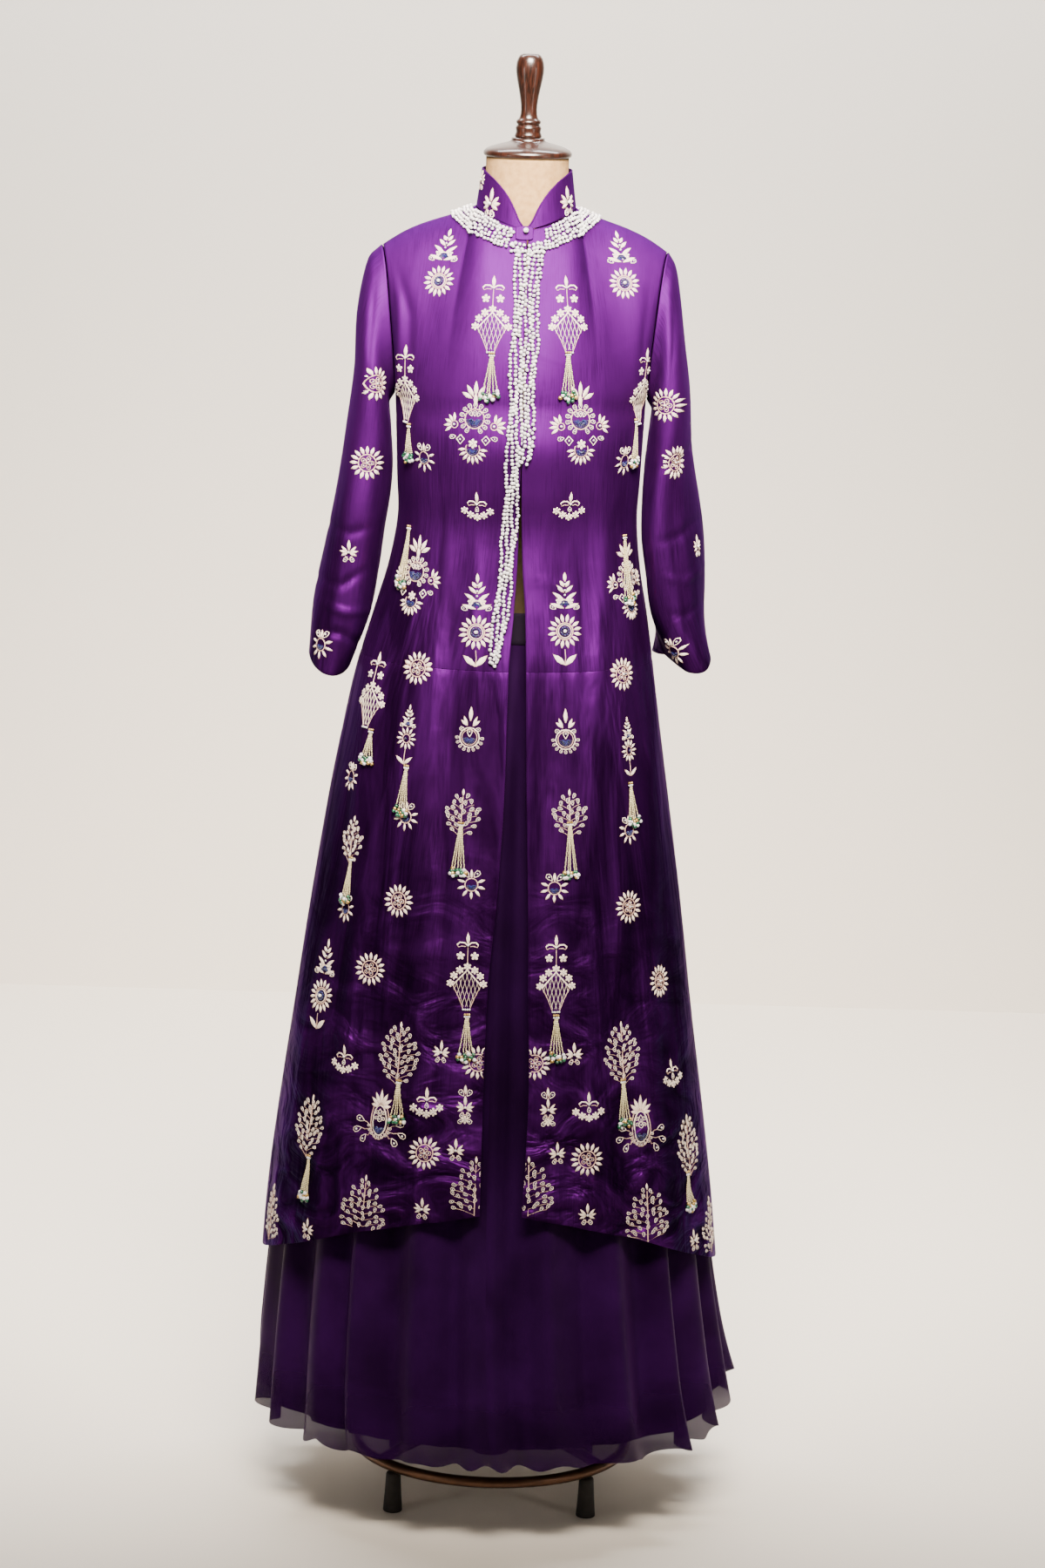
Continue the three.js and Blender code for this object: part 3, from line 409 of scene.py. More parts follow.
def body_surface(degrees, z):
    """The jacket's cloth from its hem to the chest, with its folds."""
    rise = 0
    for crest, width, height, start in FOLDS:
        off = (degrees - crest + 540) % 360 - 180
        grown = smooth(start - z, 0, start - LOWEST)
        rise = rise + height * grown * np.exp(-((off / width) ** 2))
    half, front, back = (along(BODY, k, z) + rise for k in (1, 2, 3))
    x, y = oval(np.radians(degrees), half, front, back, 0.85)
    return np.stack([x + along(BODY, 4, z), y, z + 0 * x], axis=-1)


def yoke_top(u, face):
    """The neckline, then from NECK_SHARE on the shoulder seam. face is -1 in front, else 1."""
    go = np.clip((u - NECK_SHARE) / (1 - NECK_SHARE), 0, 1)[..., None]
    seam = NECK_POINT + (SHOULDER_TIP - NECK_POINT) * go
    seam[..., 2] += (SHOULDER_RISE * go * np.sin(np.pi * go))[..., 0]
    at = np.pi / 2 * np.clip(u / NECK_SHARE, 0, 1)
    depth = (-NECK["front"] if face < 0 else NECK["back"]) - NECK_POINT[1]
    middle = NECK["front_z"] if face < 0 else NECK["back_z"]
    neck = np.stack([
        NECK["half"] * np.sin(at),
        NECK_POINT[1] + depth * np.cos(at),
        middle + (NECK["side_z"] - middle) * np.sin(at) ** 1.6,
    ], axis=-1)
    return np.where((u >= NECK_SHARE)[..., None], seam, neck)


def yoke_surface(u, t, face, chest, side):
    """The cloth from the chest, at t 0, to the neck and shoulder, at t 1. At each u it is one
    bent line, and the offsets that bend it grow towards the armhole, at u 1."""
    top = yoke_top(u, face)
    to_arm = smooth(u, 0.5, 1)[..., None]
    to_seam = smooth(u, 0, NECK_SHARE)[..., None]
    low = chest * np.array((side, 1, 1))
    rise = (top - low)[..., 2:] * 0.36
    start = low + np.concatenate(
        [-3 * to_arm, face * 72 * to_arm, rise + (6 - rise) * to_arm], axis=-1
    )
    if face < 0:
        forward = 24 + 32 * to_seam
    else:
        forward = 14 + 36 * to_seam
    end = top + np.concatenate(
        [-8 * to_arm, face * (forward + (56 - forward) * to_arm), -64 * (1 - to_seam)], axis=-1
    )
    t = t[..., None]
    s = 1 - t
    p = low * s**3 + start * 3 * s * s * t + end * 3 * s * t * t + top * t**3
    return p * np.array((side, 1, 1))


def level_height(degrees, v):
    """The height of a level of the jacket: 0 is its hem, WAIST_LEVEL its waist, 1 the chest."""
    hem = along(HEM, 1, degrees)
    low = hem + (WAIST_SEAM - hem) * v / WAIST_LEVEL
    high = WAIST_SEAM + (CHEST - WAIST_SEAM) * (np.minimum(v, 1) - WAIST_LEVEL) / (1 - WAIST_LEVEL)
    return np.where(v < WAIST_LEVEL, low, high)


def front_surface(side, u, v):
    """One front: u 0 is its edge and 1 its side seam, and v 1 is the chest and 2 the shoulder."""
    z = level_height(90 * u, v)
    edge = along(EDGES, 1 if side < 0 else 2, z) - along(BODY, 4, z)
    first = np.degrees(np.arcsin(side * edge / along(BODY, 1, z)))
    degrees = side * (first * (1 - u) + 90 * u)
    body = body_surface(degrees, z)
    yoke = yoke_surface(u, np.clip(v - 1, 0, 1), -1, body, side)
    yoke[..., 0] += 3 * np.maximum(1 - u / NECK_SHARE, 0) ** 2 * np.clip(v - 1, 0, 1)
    return np.where((v <= 1)[..., None], body, yoke)


def back_surface(u, v):
    """The back, from its left side seam at u -1 to its right one at u 1."""
    degrees = 180 - 90 * u
    body = body_surface(degrees, level_height(180 - 90 * np.abs(u), v))
    right = yoke_surface(np.abs(u), np.clip(v - 1, 0, 1), 1, body, 1)
    left = yoke_surface(np.abs(u), np.clip(v - 1, 0, 1), 1, body, -1)
    yoke = np.where((u >= 0)[..., None], right, left)
    return np.where((v <= 1)[..., None], body, yoke)


def normals_of(points):
    """The direction in which each point of a sheet faces."""
    du = np.gradient(points, axis=1)
    dv = np.gradient(points, axis=0)
    n = np.cross(du, dv)
    return n / np.maximum(np.linalg.norm(n, axis=-1, keepdims=True), 1e-9)


def soft_noise(a, b, seed):
    """A fixed smooth unevenness, about -1 to 1, over two coordinates."""
    rng = np.random.default_rng(seed)
    total = 0
    for _ in range(9):
        heading, phase = rng.uniform(0, 2 * np.pi, 2)
        speed = rng.uniform(0.7, 2.4)
        total = total + np.sin(speed * (a * math.cos(heading) + b * math.sin(heading)) + phase)
    return total / 4.2  # nine waves seldom add up to more


# Creases in the cloth, as the camera sees them: a line and its half width in the camera's pixels,
# and a height in millimetres. A negative height is a hollow.
CREASES = [
    ([(439, 290), (457, 345), (453, 430), (449, 505)], 7, 4.0),
    ([(450, 300), (470, 360), (468, 440)], 7, -2.6),
    ([(766, 307), (756, 395), (748, 500)], 7, 4.0),
    ([(752, 315), (742, 390), (738, 470)], 7, -2.4),
    ([(470, 470), (500, 478), (530, 470)], 11, -2.4),
    ([(690, 468), (715, 474), (738, 462)], 11, -2.4),
    ([(523, 500), (520, 600), (505, 720), (497, 860), (488, 1000)], 9, 2.8),
    ([(545, 600), (546, 760), (548, 900)], 7, 1.8),
    ([(690, 500), (694, 620), (690, 760), (697, 900), (706, 1040)], 9, 2.8),
    ([(655, 600), (660, 760), (652, 900)], 8, 2.0),
    ([(610, 665), (640, 672), (668, 668)], 4, 1.4),
    ([(505, 1010), (470, 1100), (452, 1180)], 10, -3.0),
    ([(430, 1240), (480, 1270), (560, 1290)], 6, 2.4),
    ([(405, 1290), (440, 1330), (500, 1345)], 6, 2.4),
    ([(460, 1345), (515, 1360), (560, 1350)], 5, 2.2),
    ([(680, 1290), (735, 1300), (790, 1275)], 6, 2.6),
    ([(640, 1340), (700, 1345), (745, 1370)], 5, 2.2),
    ([(690, 1230), (740, 1245), (775, 1225)], 7, 2.2),
    ([(360, 1160), (395, 1190), (430, 1230)], 7, 2.2),
    ([(345, 1190), (352, 1260), (330, 1330)], 7, 2.0),
]


def crease(points, lines):
    """How far the creases lift each point. Each fades out towards its two ends."""
    px, py = in_image(points)
    total = np.zeros(px.shape)
    for line, width, height in lines:
        nearest = np.full(px.shape, 1e9)
        reach = sum(math.dist(a, b) for a, b in zip(line, line[1:]))
        gone = 0
        fade = np.zeros(px.shape)
        for (ax, ay), (bx, by) in zip(line, line[1:]):
            size = math.dist((ax, ay), (bx, by))
            t = np.clip(((px - ax) * (bx - ax) + (py - ay) * (by - ay)) / size**2, 0, 1)
            far = np.hypot(px - ax - t * (bx - ax), py - ay - t * (by - ay))
            place = (gone + t * size) / reach
            closer = far < nearest
            nearest = np.where(closer, far, nearest)
            fade = np.where(closer, np.sin(np.pi * np.clip(place, 0.03, 0.97)) ** 0.7, fade)
            gone += size
        total += height * fade * np.exp(-((nearest / width) ** 2))
    return total


DEEPEST = -2.6  # no hollow goes further in, where the form and the skirt are


def worked(points, seed, front, hold):
    """Moves cloth along its own normal by its gathers under the waist seam, long streaks, puckers
    near its hem and creases. hold is 0 where a side seam keeps it still."""
    n = normals_of(points)
    x, z = points[..., 0], points[..., 2]
    under_seam = smooth(z, 800, 1060) * smooth(z, WAIST_SEAM, 1050)
    gathers = 1.3 * soft_noise(x / 5.5, z / 190, seed + 5) * under_seam
    streaks = 2.0 * soft_noise(x / 13, z / 240, seed) * smooth(z, 1380, 1080)
    small = 2.4 * soft_noise(x / 15 + z / 40, z / 9, seed + 1)
    large = 2.6 * soft_noise(x / 30, z / 20, seed + 4)
    share = (1.0 if front else 0.6) * (0.35 + 0.65 * soft_noise(x / 70, z / 60, seed + 2) ** 2)
    puckers = (small + large) * smooth(z, 800, 380) * share
    move = gathers + streaks + puckers + 0.5 * soft_noise(x / 40, z / 55, seed + 3)
    if front:
        move = move + crease(points, CREASES)
    return points + n * (np.maximum(move, DEEPEST) * hold)[..., None]


# Satin: a silk warp face, so it is glossy and its broad lights are violet. Fine streaks run down
# the warp, about 0.3 mm apart on the cloth, and are drawn four times as coarse so that they show.
# Over the chest it is smooth and less glossy. Its colour is painted darker towards the hem, as
# shade. Low down it is crushed, and painted glints and shade cloud it in patches; below the waist
# painted fold shade runs down it in long streaks.
satin, tree, shader = new_material(
    "purple_silk_satin", Metallic=0.88, Roughness=0.5, Specular_IOR_Level=0.3,
    Sheen_Weight=0.02, Sheen_Roughness=0.4,
)
shader.inputs["Sheen Tint"].default_value = linear("#7a3398")
shader.inputs["Specular Tint"].default_value = linear("#9a5cb8")
mapped = add_node(tree, "ShaderNodeUVMap", uv_map="UVMap").outputs["UV"]
stretch = add_node(tree, "ShaderNodeMapping", {"Vector": mapped, "Scale": (1.0, 0.035, 1.0)})
streak = add_node(
    tree, "ShaderNodeTexNoise", {"Vector": stretch.outputs[0], "Scale": 620.0, "Detail": 4.0}
)
cloud = add_node(tree, "ShaderNodeTexNoise", {"Vector": mapped, "Scale": 7.0, "Detail": 3.0})
blend = add_node(
    tree, "ShaderNodeMath", {0: streak.outputs["Fac"], 1: cloud.outputs["Fac"]}, operation="ADD"
)
ramp = add_node(tree, "ShaderNodeValToRGB", {"Fac": blend.outputs[0]})
ramp.color_ramp.elements[0].position = 0.55
ramp.color_ramp.elements[0].color = linear("#290537")
ramp.color_ramp.elements[1].position = 1.35
ramp.color_ramp.elements[1].color = linear("#420c55")
rough = add_node(
    tree, "ShaderNodeMapRange", {"Value": streak.outputs["Fac"], "To Min": 0.46, "To Max": 0.56}
)
place = add_node(tree, "ShaderNodeTexCoord").outputs["Object"]
height_of = add_node(tree, "ShaderNodeSeparateXYZ", {"Vector": place}).outputs["Z"]
worn = add_node(
    tree, "ShaderNodeMapRange",
    {"Value": height_of, "From Min": 1.2, "From Max": 1.5, "To Min": 0.0, "To Max": 0.14},
)
dulled = add_node(
    tree, "ShaderNodeMath", {0: rough.outputs[0], 1: worn.outputs[0]}, operation="ADD"
)
tree.links.new(dulled.outputs[0], shader.inputs["Roughness"])
fallen = add_node(
    tree, "ShaderNodeMapRange",
    {"Value": height_of, "From Min": 0.35, "From Max": 0.88, "To Min": 1.0, "To Max": 0.02},
)
room = add_node(tree, "ShaderNodeMapping", {"Vector": place, "Scale": (1.0, 1.0, 1.7)})
crush = add_node(
    tree, "ShaderNodeTexNoise",
    {"Vector": room.outputs[0], "Scale": 12.0, "Detail": 3.0, "Roughness": 0.45, "Distortion": 1.5},
)
crushed = add_node(
    tree, "ShaderNodeMath", {0: crush.outputs["Fac"], 1: fallen.outputs[0]}, operation="MULTIPLY"
)
# Painted glints and shade: low down the crush noise lightens and darkens the colour in patches,
# from half to over twice its value.
painted_glint_patch = add_node(
    tree, "ShaderNodeMapRange",
    {"Value": crush.outputs["Fac"], "From Min": 0.4, "From Max": 0.64,
     "To Min": -0.5, "To Max": 1.4},
)
painted_glint_clouds = add_node(
    tree, "ShaderNodeMath", {0: painted_glint_patch.outputs[0], 1: fallen.outputs[0], 2: 1.0},
    operation="MULTIPLY_ADD",
)
# Painted shade: the colour falls to about a third of its value from the chest down to 0.8 m.
depth = add_node(
    tree, "ShaderNodeMapRange",
    {"Value": height_of, "From Min": 0.8, "From Max": 1.5, "To Min": 0.34, "To Max": 1.05},
    interpolation_type="SMOOTHSTEP",
)
painted_shade_scale = add_node(
    tree, "ShaderNodeMath", {0: painted_glint_clouds.outputs[0], 1: depth.outputs[0]}, operation="MULTIPLY"
)
room = add_node(tree, "ShaderNodeMapping", {"Vector": place, "Scale": (1.0, 1.0, 0.1)})
hang = add_node(
    tree, "ShaderNodeTexNoise",
    {"Vector": room.outputs[0], "Scale": 24.0, "Detail": 3.0, "Roughness": 0.5, "Distortion": 0.4},
)
below = add_node(
    tree, "ShaderNodeMapRange",
    {"Value": height_of, "From Min": 1.1, "From Max": 1.32, "To Min": 0.5, "To Max": 0.08},
)
hung = add_node(
    tree, "ShaderNodeMath", {0: hang.outputs["Fac"], 1: below.outputs[0]}, operation="MULTIPLY"
)
# Painted fold shade: the noise of the hanging folds also darkens and lightens the colour in long
# vertical streaks, most below the waist.
painted_fold_shade = add_node(
    tree, "ShaderNodeMapRange",
    {"Value": hang.outputs["Fac"], "From Min": 0.4, "From Max": 0.6, "To Min": -0.9, "To Max": 0.7},
)
painted_fold_streaks = add_node(
    tree, "ShaderNodeMath", {0: painted_fold_shade.outputs[0], 1: below.outputs[0], 2: 1.0},
    operation="MULTIPLY_ADD",
)
# The painted shade, glints and fold shade together scale the satin's colour.
value = add_node(
    tree, "ShaderNodeMath", {0: painted_shade_scale.outputs[0], 1: painted_fold_streaks.outputs[0]}, operation="MULTIPLY"
)
satin_with_painted_shade = add_node(
    tree, "ShaderNodeHueSaturation", {"Color": ramp.outputs["Color"], "Value": value.outputs[0]}
)
tree.links.new(satin_with_painted_shade.outputs["Color"], shader.inputs["Base Color"])
soft = add_node(
    tree, "ShaderNodeMath", {0: crushed.outputs[0], 1: hung.outputs[0]}, operation="ADD"
)
folds = add_node(
    tree, "ShaderNodeBump", {"Height": soft.outputs[0], "Strength": 1.0, "Distance": 0.018}
)
bump = add_node(
    tree, "ShaderNodeBump",
    {"Height": streak.outputs["Fac"], "Strength": 0.3, "Distance": 0.0003,
     "Normal": folds.outputs["Normal"]},
)
tree.links.new(bump.outputs["Normal"], shader.inputs["Normal"])


def cloth_piece(name, points, size, thickness, material, slot, node, ring=False):
    """A cloth piece, with half of its wall's thickness to each side of these points."""
    piece = add_object(name, grid_mesh(name, points, material, size, ring), slot, node)
    wall = piece.modifiers.new("wall", "SOLIDIFY")
    wall.thickness = thickness / 1000
    wall.offset = 0
    wall.use_even_offset = True
    wall.thickness_clamp = 1
    even = piece.modifiers.new("even_shading", "WEIGHTED_NORMAL")
    even.weight = 80
    return piece


SATIN_WALL = 1.6  # the satin and its lining, in millimetres
EDGE = 0.0006  # a narrow last row of each piece, as a share of its height, keeps its edge crisp


def make_panel(side, surface, cross, seed, names, nodes, flats):
    """One panel of the jacket in its upper and lower pieces, each a sheet with its wall."""
    made = []
    to_chest = np.linspace(WAIST_LEVEL + EDGE, 1, 48)
    to_shoulder = np.linspace(1, 2, 50)[1:]
    upper = np.concatenate([[WAIST_LEVEL], to_chest, to_shoulder])
    lower = np.append(np.linspace(0, WAIST_LEVEL - EDGE, 140), WAIST_LEVEL)
    for name, node, flat, levels in zip(names, nodes, flats, (upper, lower)):
        v = levels[:, None] + 0 * cross
        hold = 1 - smooth(np.abs(cross) + 0 * v, 0.86, 0.99)
        points = worked(surface(cross + 0 * v, v), seed, side != 0, hold)
        piece = cloth_piece(name, points, flat, SATIN_WALL, satin, "satin", node)
        made.append(piece)
    return made


cross = np.linspace(0.0035, 0.998, 84)[None, :]
upper_right, lower_right = make_panel(
    1, lambda u, v: front_surface(1, u, v), cross, 11,
    ("satin_bodice_right", "satin_skirt_right"), ("bodice_front_right", "jacket_skirt_right"),
    ((0.27, 0.6), (0.45, 0.8)),
)
upper_left, lower_left = make_panel(
    -1, lambda u, v: front_surface(-1, u, v), cross[:, ::-1], 23,
    ("satin_bodice_left", "satin_skirt_left"), ("bodice_front_left", "jacket_skirt_left"),
    ((0.27, 0.6), (0.5, 0.8)),
)
cross = np.linspace(0.998, -0.998, 150)[None, :]
upper_back, lower_back = make_panel(
    0, back_surface, cross, 37,
    ("satin_bodice_back", "satin_skirt_back"), ("bodice_back", "jacket_skirt_back"),
    ((0.52, 0.6), (0.95, 0.8)),
)

# ---------------------------------------------------------------- the sleeves
# The same satin, cut straight and set into the armholes. They hang flat and a little twisted, and
# end at plain turned cuffs that stand open.
RIGHT_SLEEVE = np.array([
    # along, outer x and z, inner x and z, half depth, sag, how far the front edge turns outwards
    (0, 175, 1580, 154, 1400, 58, 0, 0), (0.08, 185, 1561, 161, 1386, 61, 0, 0),
    (0.2, 196, 1503, 158, 1356, 64, 0, 0), (0.33, 205, 1432, 155, 1320, 65, 0, 0),
    (0.46, 210, 1362, 154, 1280, 65, 0, -6), (0.6, 219, 1288, 157, 1233, 65, 2, -14),
    (0.73, 228, 1220, 165, 1188, 66, 5, -16), (0.86, 234, 1158, 171, 1138, 67, 10, -10),
    (1, 238, 1092, 179, 1088, 68, 18, 18),
])
LEFT_SLEEVE = np.array([
    (0, 175, 1580, 154, 1400, 58, 0, 0), (0.08, 191, 1562, 161, 1386, 61, 0, 0),
    (0.2, 202, 1505, 158, 1354, 64, 0, 0), (0.33, 206, 1432, 156, 1318, 65, 0, 0),
    (0.46, 214, 1362, 158, 1277, 65, 0, 0), (0.6, 224, 1284, 164, 1228, 65, 1, 0),
    (0.73, 235, 1212, 171, 1180, 66, 3, 0), (0.86, 249, 1140, 180, 1124, 67, 8, 0),
    (1, 254, 1076, 201, 1064, 68, 13, 0),
])
SLEEVE_CREASES = [
    # in the same way as CREASES
    ([(362, 662), (392, 672), (424, 652)], 4, -2.6),
    ([(366, 690), (396, 704), (424, 700)], 3.5, 2.4),
    ([(364, 722), (392, 727), (414, 740)], 3.5, -2.6),
    ([(376, 600), (402, 612), (430, 604)], 4.5, -2.0),
    ([(432, 300), (426, 380), (420, 470)], 5, -2.0),
    ([(806, 590), (780, 616), (757, 622)], 4, -2.4),
    ([(808, 648), (786, 668), (764, 662)], 3.5, 2.2),
    ([(806, 690), (788, 706), (770, 706)], 3.5, -2.4),
    ([(803, 500), (780, 530), (757, 536)], 4.5, -2.0),
    ([(776, 330), (774, 400), (768, 470)], 5, -2.0),
]


def sleeve_tube(table, side, around, v):
    """The sleeve as its table gives it. around is an angle from its outer line, over its front."""
    row = [along(table, k, v) for k in range(1, 8)]
    c = np.cos(around)
    across = (1 + np.sign(c) * np.abs(c) ** 0.9) / 2
    swing = np.sin(around)
    x = row[2] + (row[0] - row[2]) * across + row[6] * swing
    z = row[3] + (row[1] - row[3]) * across - row[5] * swing**2
    return np.stack([side * x, -row[4] * swing, z], axis=-1)


def sleeve_surface(table, side, u, v):
    """The tube, led at its top into the armhole, which is the edge of the front and the back."""
    around = 2 * np.pi * u
    tube = sleeve_tube(table, side, around, v)
    chest = body_surface(np.array([[90.0 * side]]), np.array([[CHEST]]))
    t = np.abs(1 - 2 * (u % 1))
    one = np.ones_like(t)
    front = yoke_surface(one, t, -1, chest, side)
    back = yoke_surface(one, t, 1, chest, side)
    hole = np.where(((u % 1) < 0.5)[..., None], front, back)
    hole[..., 0] += side * (1.5 + 1.1 * (1 - np.cos(around)) / 2)
    hole = hole + tube - sleeve_tube(table, side, around, 0 * v)
    free = smooth(v, 0, 0.24)[..., None]
    return hole * (1 - free) + tube * free


def make_sleeve(name, node, table, side, seed):
    """One sleeve with its creases and soft bends, as a sheet that is sewn into a tube."""
    u = np.linspace(0, 1, 97)[None, :]
    if side < 0:
        u = 1 - u
    v = np.linspace(0, 1, 104)[:, None]
    points = sleeve_surface(table, side, u + 0 * v, v + 0 * u)
    n = normals_of(points)
    z = points[..., 2]
    move = crease(points, SLEEVE_CREASES) * (points[..., 1] < 20)
    around = 2 * np.pi * u
    soft = 1.5 * soft_noise(2.4 * np.cos(around) + z / 95, z / 34 + 1.6 * np.sin(around), seed)
    soft = soft + 0.6 * soft_noise(5 * np.cos(around), z / 60, seed + 1)
    move = 1.3 * move + soft * smooth(v, 0.06, 0.3)
    move[:, -1] = move[:, 0]
    points = points + n * move[..., None]
    points[:, -1] = points[:, 0]
    piece = cloth_piece(name, points, (0.34, 0.5), 1.4, satin, "satin", node, True)
    return piece


sleeve_right = make_sleeve("satin_sleeve_right", "sleeve_right", RIGHT_SLEEVE, 1, 51)
sleeve_left = make_sleeve("satin_sleeve_left", "sleeve_left", LEFT_SLEEVE, -1, 53)

# ---------------------------------------------------------------- the collar, its tab and button
# A standing collar of stiffened satin that falls to a V at the throat. A small tab with one pearl
# button closes it.
# Its height at some angles from the front.
COLLAR = np.array([(3, 2.5), (8, 9), (15, 22), (24, 33), (34, 40), (50, 45), (90, 47), (180, 45)])
COLLAR_RISE = 46.0  # the height at which its upper oval is measured


def collar_surface(angle, v):
    """The collar from its foot on the neckline, at v 0, to its upper edge, at v 1."""
    c, s = np.cos(np.radians(angle)), np.sin(np.radians(angle))
    from_front = np.minimum(angle, 360 - angle)
    inset = 1.7 + 1.4 * c * c
    deep = np.where(c > 0, NECK["front"] + 4, NECK["back"] - 4)
    foot_z = np.where(c > 0, NECK["front_z"], NECK["back_z"])
    foot_z = foot_z + (NECK["side_z"] - foot_z) * np.abs(s) ** 1.6
    foot = np.stack([(62 - inset) * s, 4 - (deep - inset) * c, foot_z + 0.4], axis=-1)
    top = np.stack([54.5 * s, 2 - 55 * c, foot_z + COLLAR_RISE], axis=-1)
    return foot + (top - foot) * (v * along(COLLAR, 1, from_front) / COLLAR_RISE)[..., None]


angle = np.concatenate(
    [np.linspace(3, 60, 60), np.linspace(62, 298, 90), np.linspace(300, 357, 60)]
)
v = np.linspace(0, 1, 22)[:, None]
points = collar_surface(angle[None, :] + 0 * v, v + 0 * angle[None, :])
collar = cloth_piece("satin_collar", points, (0.38, 0.05), 1.8, satin, "satin", "collar")
piping = tube_mesh("collar_piping", [points[-1]], 1.1, 2)
piping.materials.append(satin)
add_object("collar_piping", piping, "satin")
# The tab lies over the V with its ends rounded off, and leans back as the neckline does.
u, v = np.linspace(0, 1, 24)[None, :], np.linspace(0, 1, 18)[:, None]
round_off = 2.2 * np.abs(2 * u - 1) ** 4
z = 1597 + round_off + (16.5 - 2 * round_off) * v
points = np.stack([-12 + 21.5 * u + 0 * v, -66 - (1609 - z) * 0.375 - 2.6, z], axis=-1)
tab = cloth_piece("satin_neck_tab", points, (0.022, 0.017), 1.3, satin, "satin", "neck_tab")

# ---------------------------------------------------------------- the skirt
# A sheer silk georgette with a rolled hem over a shorter, opaque crepe lining, both cut to flare
# and gathered on a narrow waistband. The cloth falls in soft round folds.
SKIRT = np.array([
    # z, half width, front, back, shift, half depth of its folds
    (104, 290, 263, 263, 3, 15), (175, 283, 252, 252, -2, 14), (240, 277, 242, 242, -5, 12.5),
    (300, 271, 233, 233, -7, 11.5), (400, 261, 224, 223, -9, 10), (497, 249, 214, 211, -10, 9),
    (633, 231, 198, 193, -10, 8), (768, 212, 180, 174, -9, 7), (902, 192, 158, 152, -7, 5.5),
    (1000, 175, 137, 136, -3, 4), (1060, 163, 121, 122, -1, 2.5), (1108, 150, 107, 107, 0, 0),
])
SKIRT_FOLDS = 22
SKIRT_TOP = 1107.4
SKIRT_HEM = 106.0
BAND_OUT = 1.8  # from the form to the middle of the waistband


def uneven(k):
    """A fixed share from 0 to 1 for each fold, so that no two folds are alike."""
    n = np.sin((k % SKIRT_FOLDS) * 12.9898 + 4.1) * 43758.5453
    return n - np.floor(n)


def skirt_surface(u, v, hem, at_waist, at_hem, share, ruffle):
    """A layer of the skirt. u counts its folds and v goes from its waist to its hem. It lies
    inside the outermost cloth by at_waist and at_hem, takes a share of the folds' depth, and its
    hem ripples by the ruffle. At its right side it kicks out and is a little shorter."""
    k = np.floor(u)
    part = u - k
    wave = np.cos(2 * np.pi * u)
    spots = [n + 0.42 * (uneven(n + SKIRT_FOLDS) - 0.5) for n in (k, k + 1)]
    around = (spots[0] + (spots[1] - spots[0]) * part) * 2 * np.pi / SKIRT_FOLDS
    depths = [0.65 + 0.6 * uneven(n + SKIRT_FOLDS) for n in (k, k + 1)]
    depth = depths[0] + (depths[1] - depths[0]) * part
    kick = np.exp(-(((np.degrees(around) - 92) / 19) ** 2))
    z = SKIRT_TOP + (hem + 3.5 * depth * wave + 40 * kick - SKIRT_TOP) * v
    fallen = np.clip((SKIRT_TOP - z) / (SKIRT_TOP - SKIRT_HEM), 0, 1)
    out = along(SKIRT, 5, z) * depth * wave * share + 15 * kick * fallen**8
    out = out + share * 2.6 * fallen * np.sin(4 * np.pi * u + 3 * np.sin(3 * around))
    ruffle = ruffle * (0.6 + 0.4 * np.sin(7 * around + 1))
    near_hem = np.clip((v - 0.9) / 0.1, 0, 1)
    lobes = 2 * np.pi * (1.5 * u + 0.35 * np.sin(5 * around))
    z = z + 0.6 * ruffle * near_hem * np.cos(lobes)
    out = out + ruffle * near_hem**2 * np.sin(lobes)
    inset = at_waist + (at_hem - at_waist) * np.minimum(fallen * 4, 1)
    half, front, back = (along(SKIRT, c, z) + out - inset for c in (1, 2, 3))
    x, y = oval(around, half, front, back, 0.9)
    hung = np.stack([x + along(SKIRT, 4, z), y, z], axis=-1)
    waist = form_surface(around, z, BAND_OUT - at_waist)
    free = smooth(fallen, 0, 0.035)[..., None]
    return waist * (1 - free) + hung * free


# Georgette: thin, matt and faintly grainy from its twisted yarns. Its hem lets light by, and above
# that the dark crepe backs it, so it looks solid. Above about half a metre its colour is painted
# far darker, a painted shade for the jacket over it.
georgette, tree, shader = new_material(
    "purple_georgette", Roughness=0.66, Specular_IOR_Level=0.3, Sheen_Weight=0.12,
    Sheen_Roughness=0.5,
)
shader.inputs["Sheen Tint"].default_value = linear("#6a2a80")
shader.inputs["Specular Tint"].default_value = linear("#7c3a9a")
mapped = add_node(tree, "ShaderNodeUVMap", uv_map="UVMap").outputs["UV"]
crimp = add_node(tree, "ShaderNodeTexNoise", {"Vector": mapped, "Scale": 900.0, "Detail": 2.0})
cloud = add_node(tree, "ShaderNodeTexNoise", {"Vector": mapped, "Scale": 9.0, "Detail": 3.0})
ramp = add_node(tree, "ShaderNodeValToRGB", {"Fac": cloud.outputs["Fac"]})
ramp.color_ramp.elements[0].position = 0.3
ramp.color_ramp.elements[0].color = linear("#11021a")
ramp.color_ramp.elements[1].position = 0.75
ramp.color_ramp.elements[1].color = linear("#220531")
place = add_node(tree, "ShaderNodeTexCoord").outputs["Object"]
height_of = add_node(tree, "ShaderNodeSeparateXYZ", {"Vector": place}).outputs["Z"]
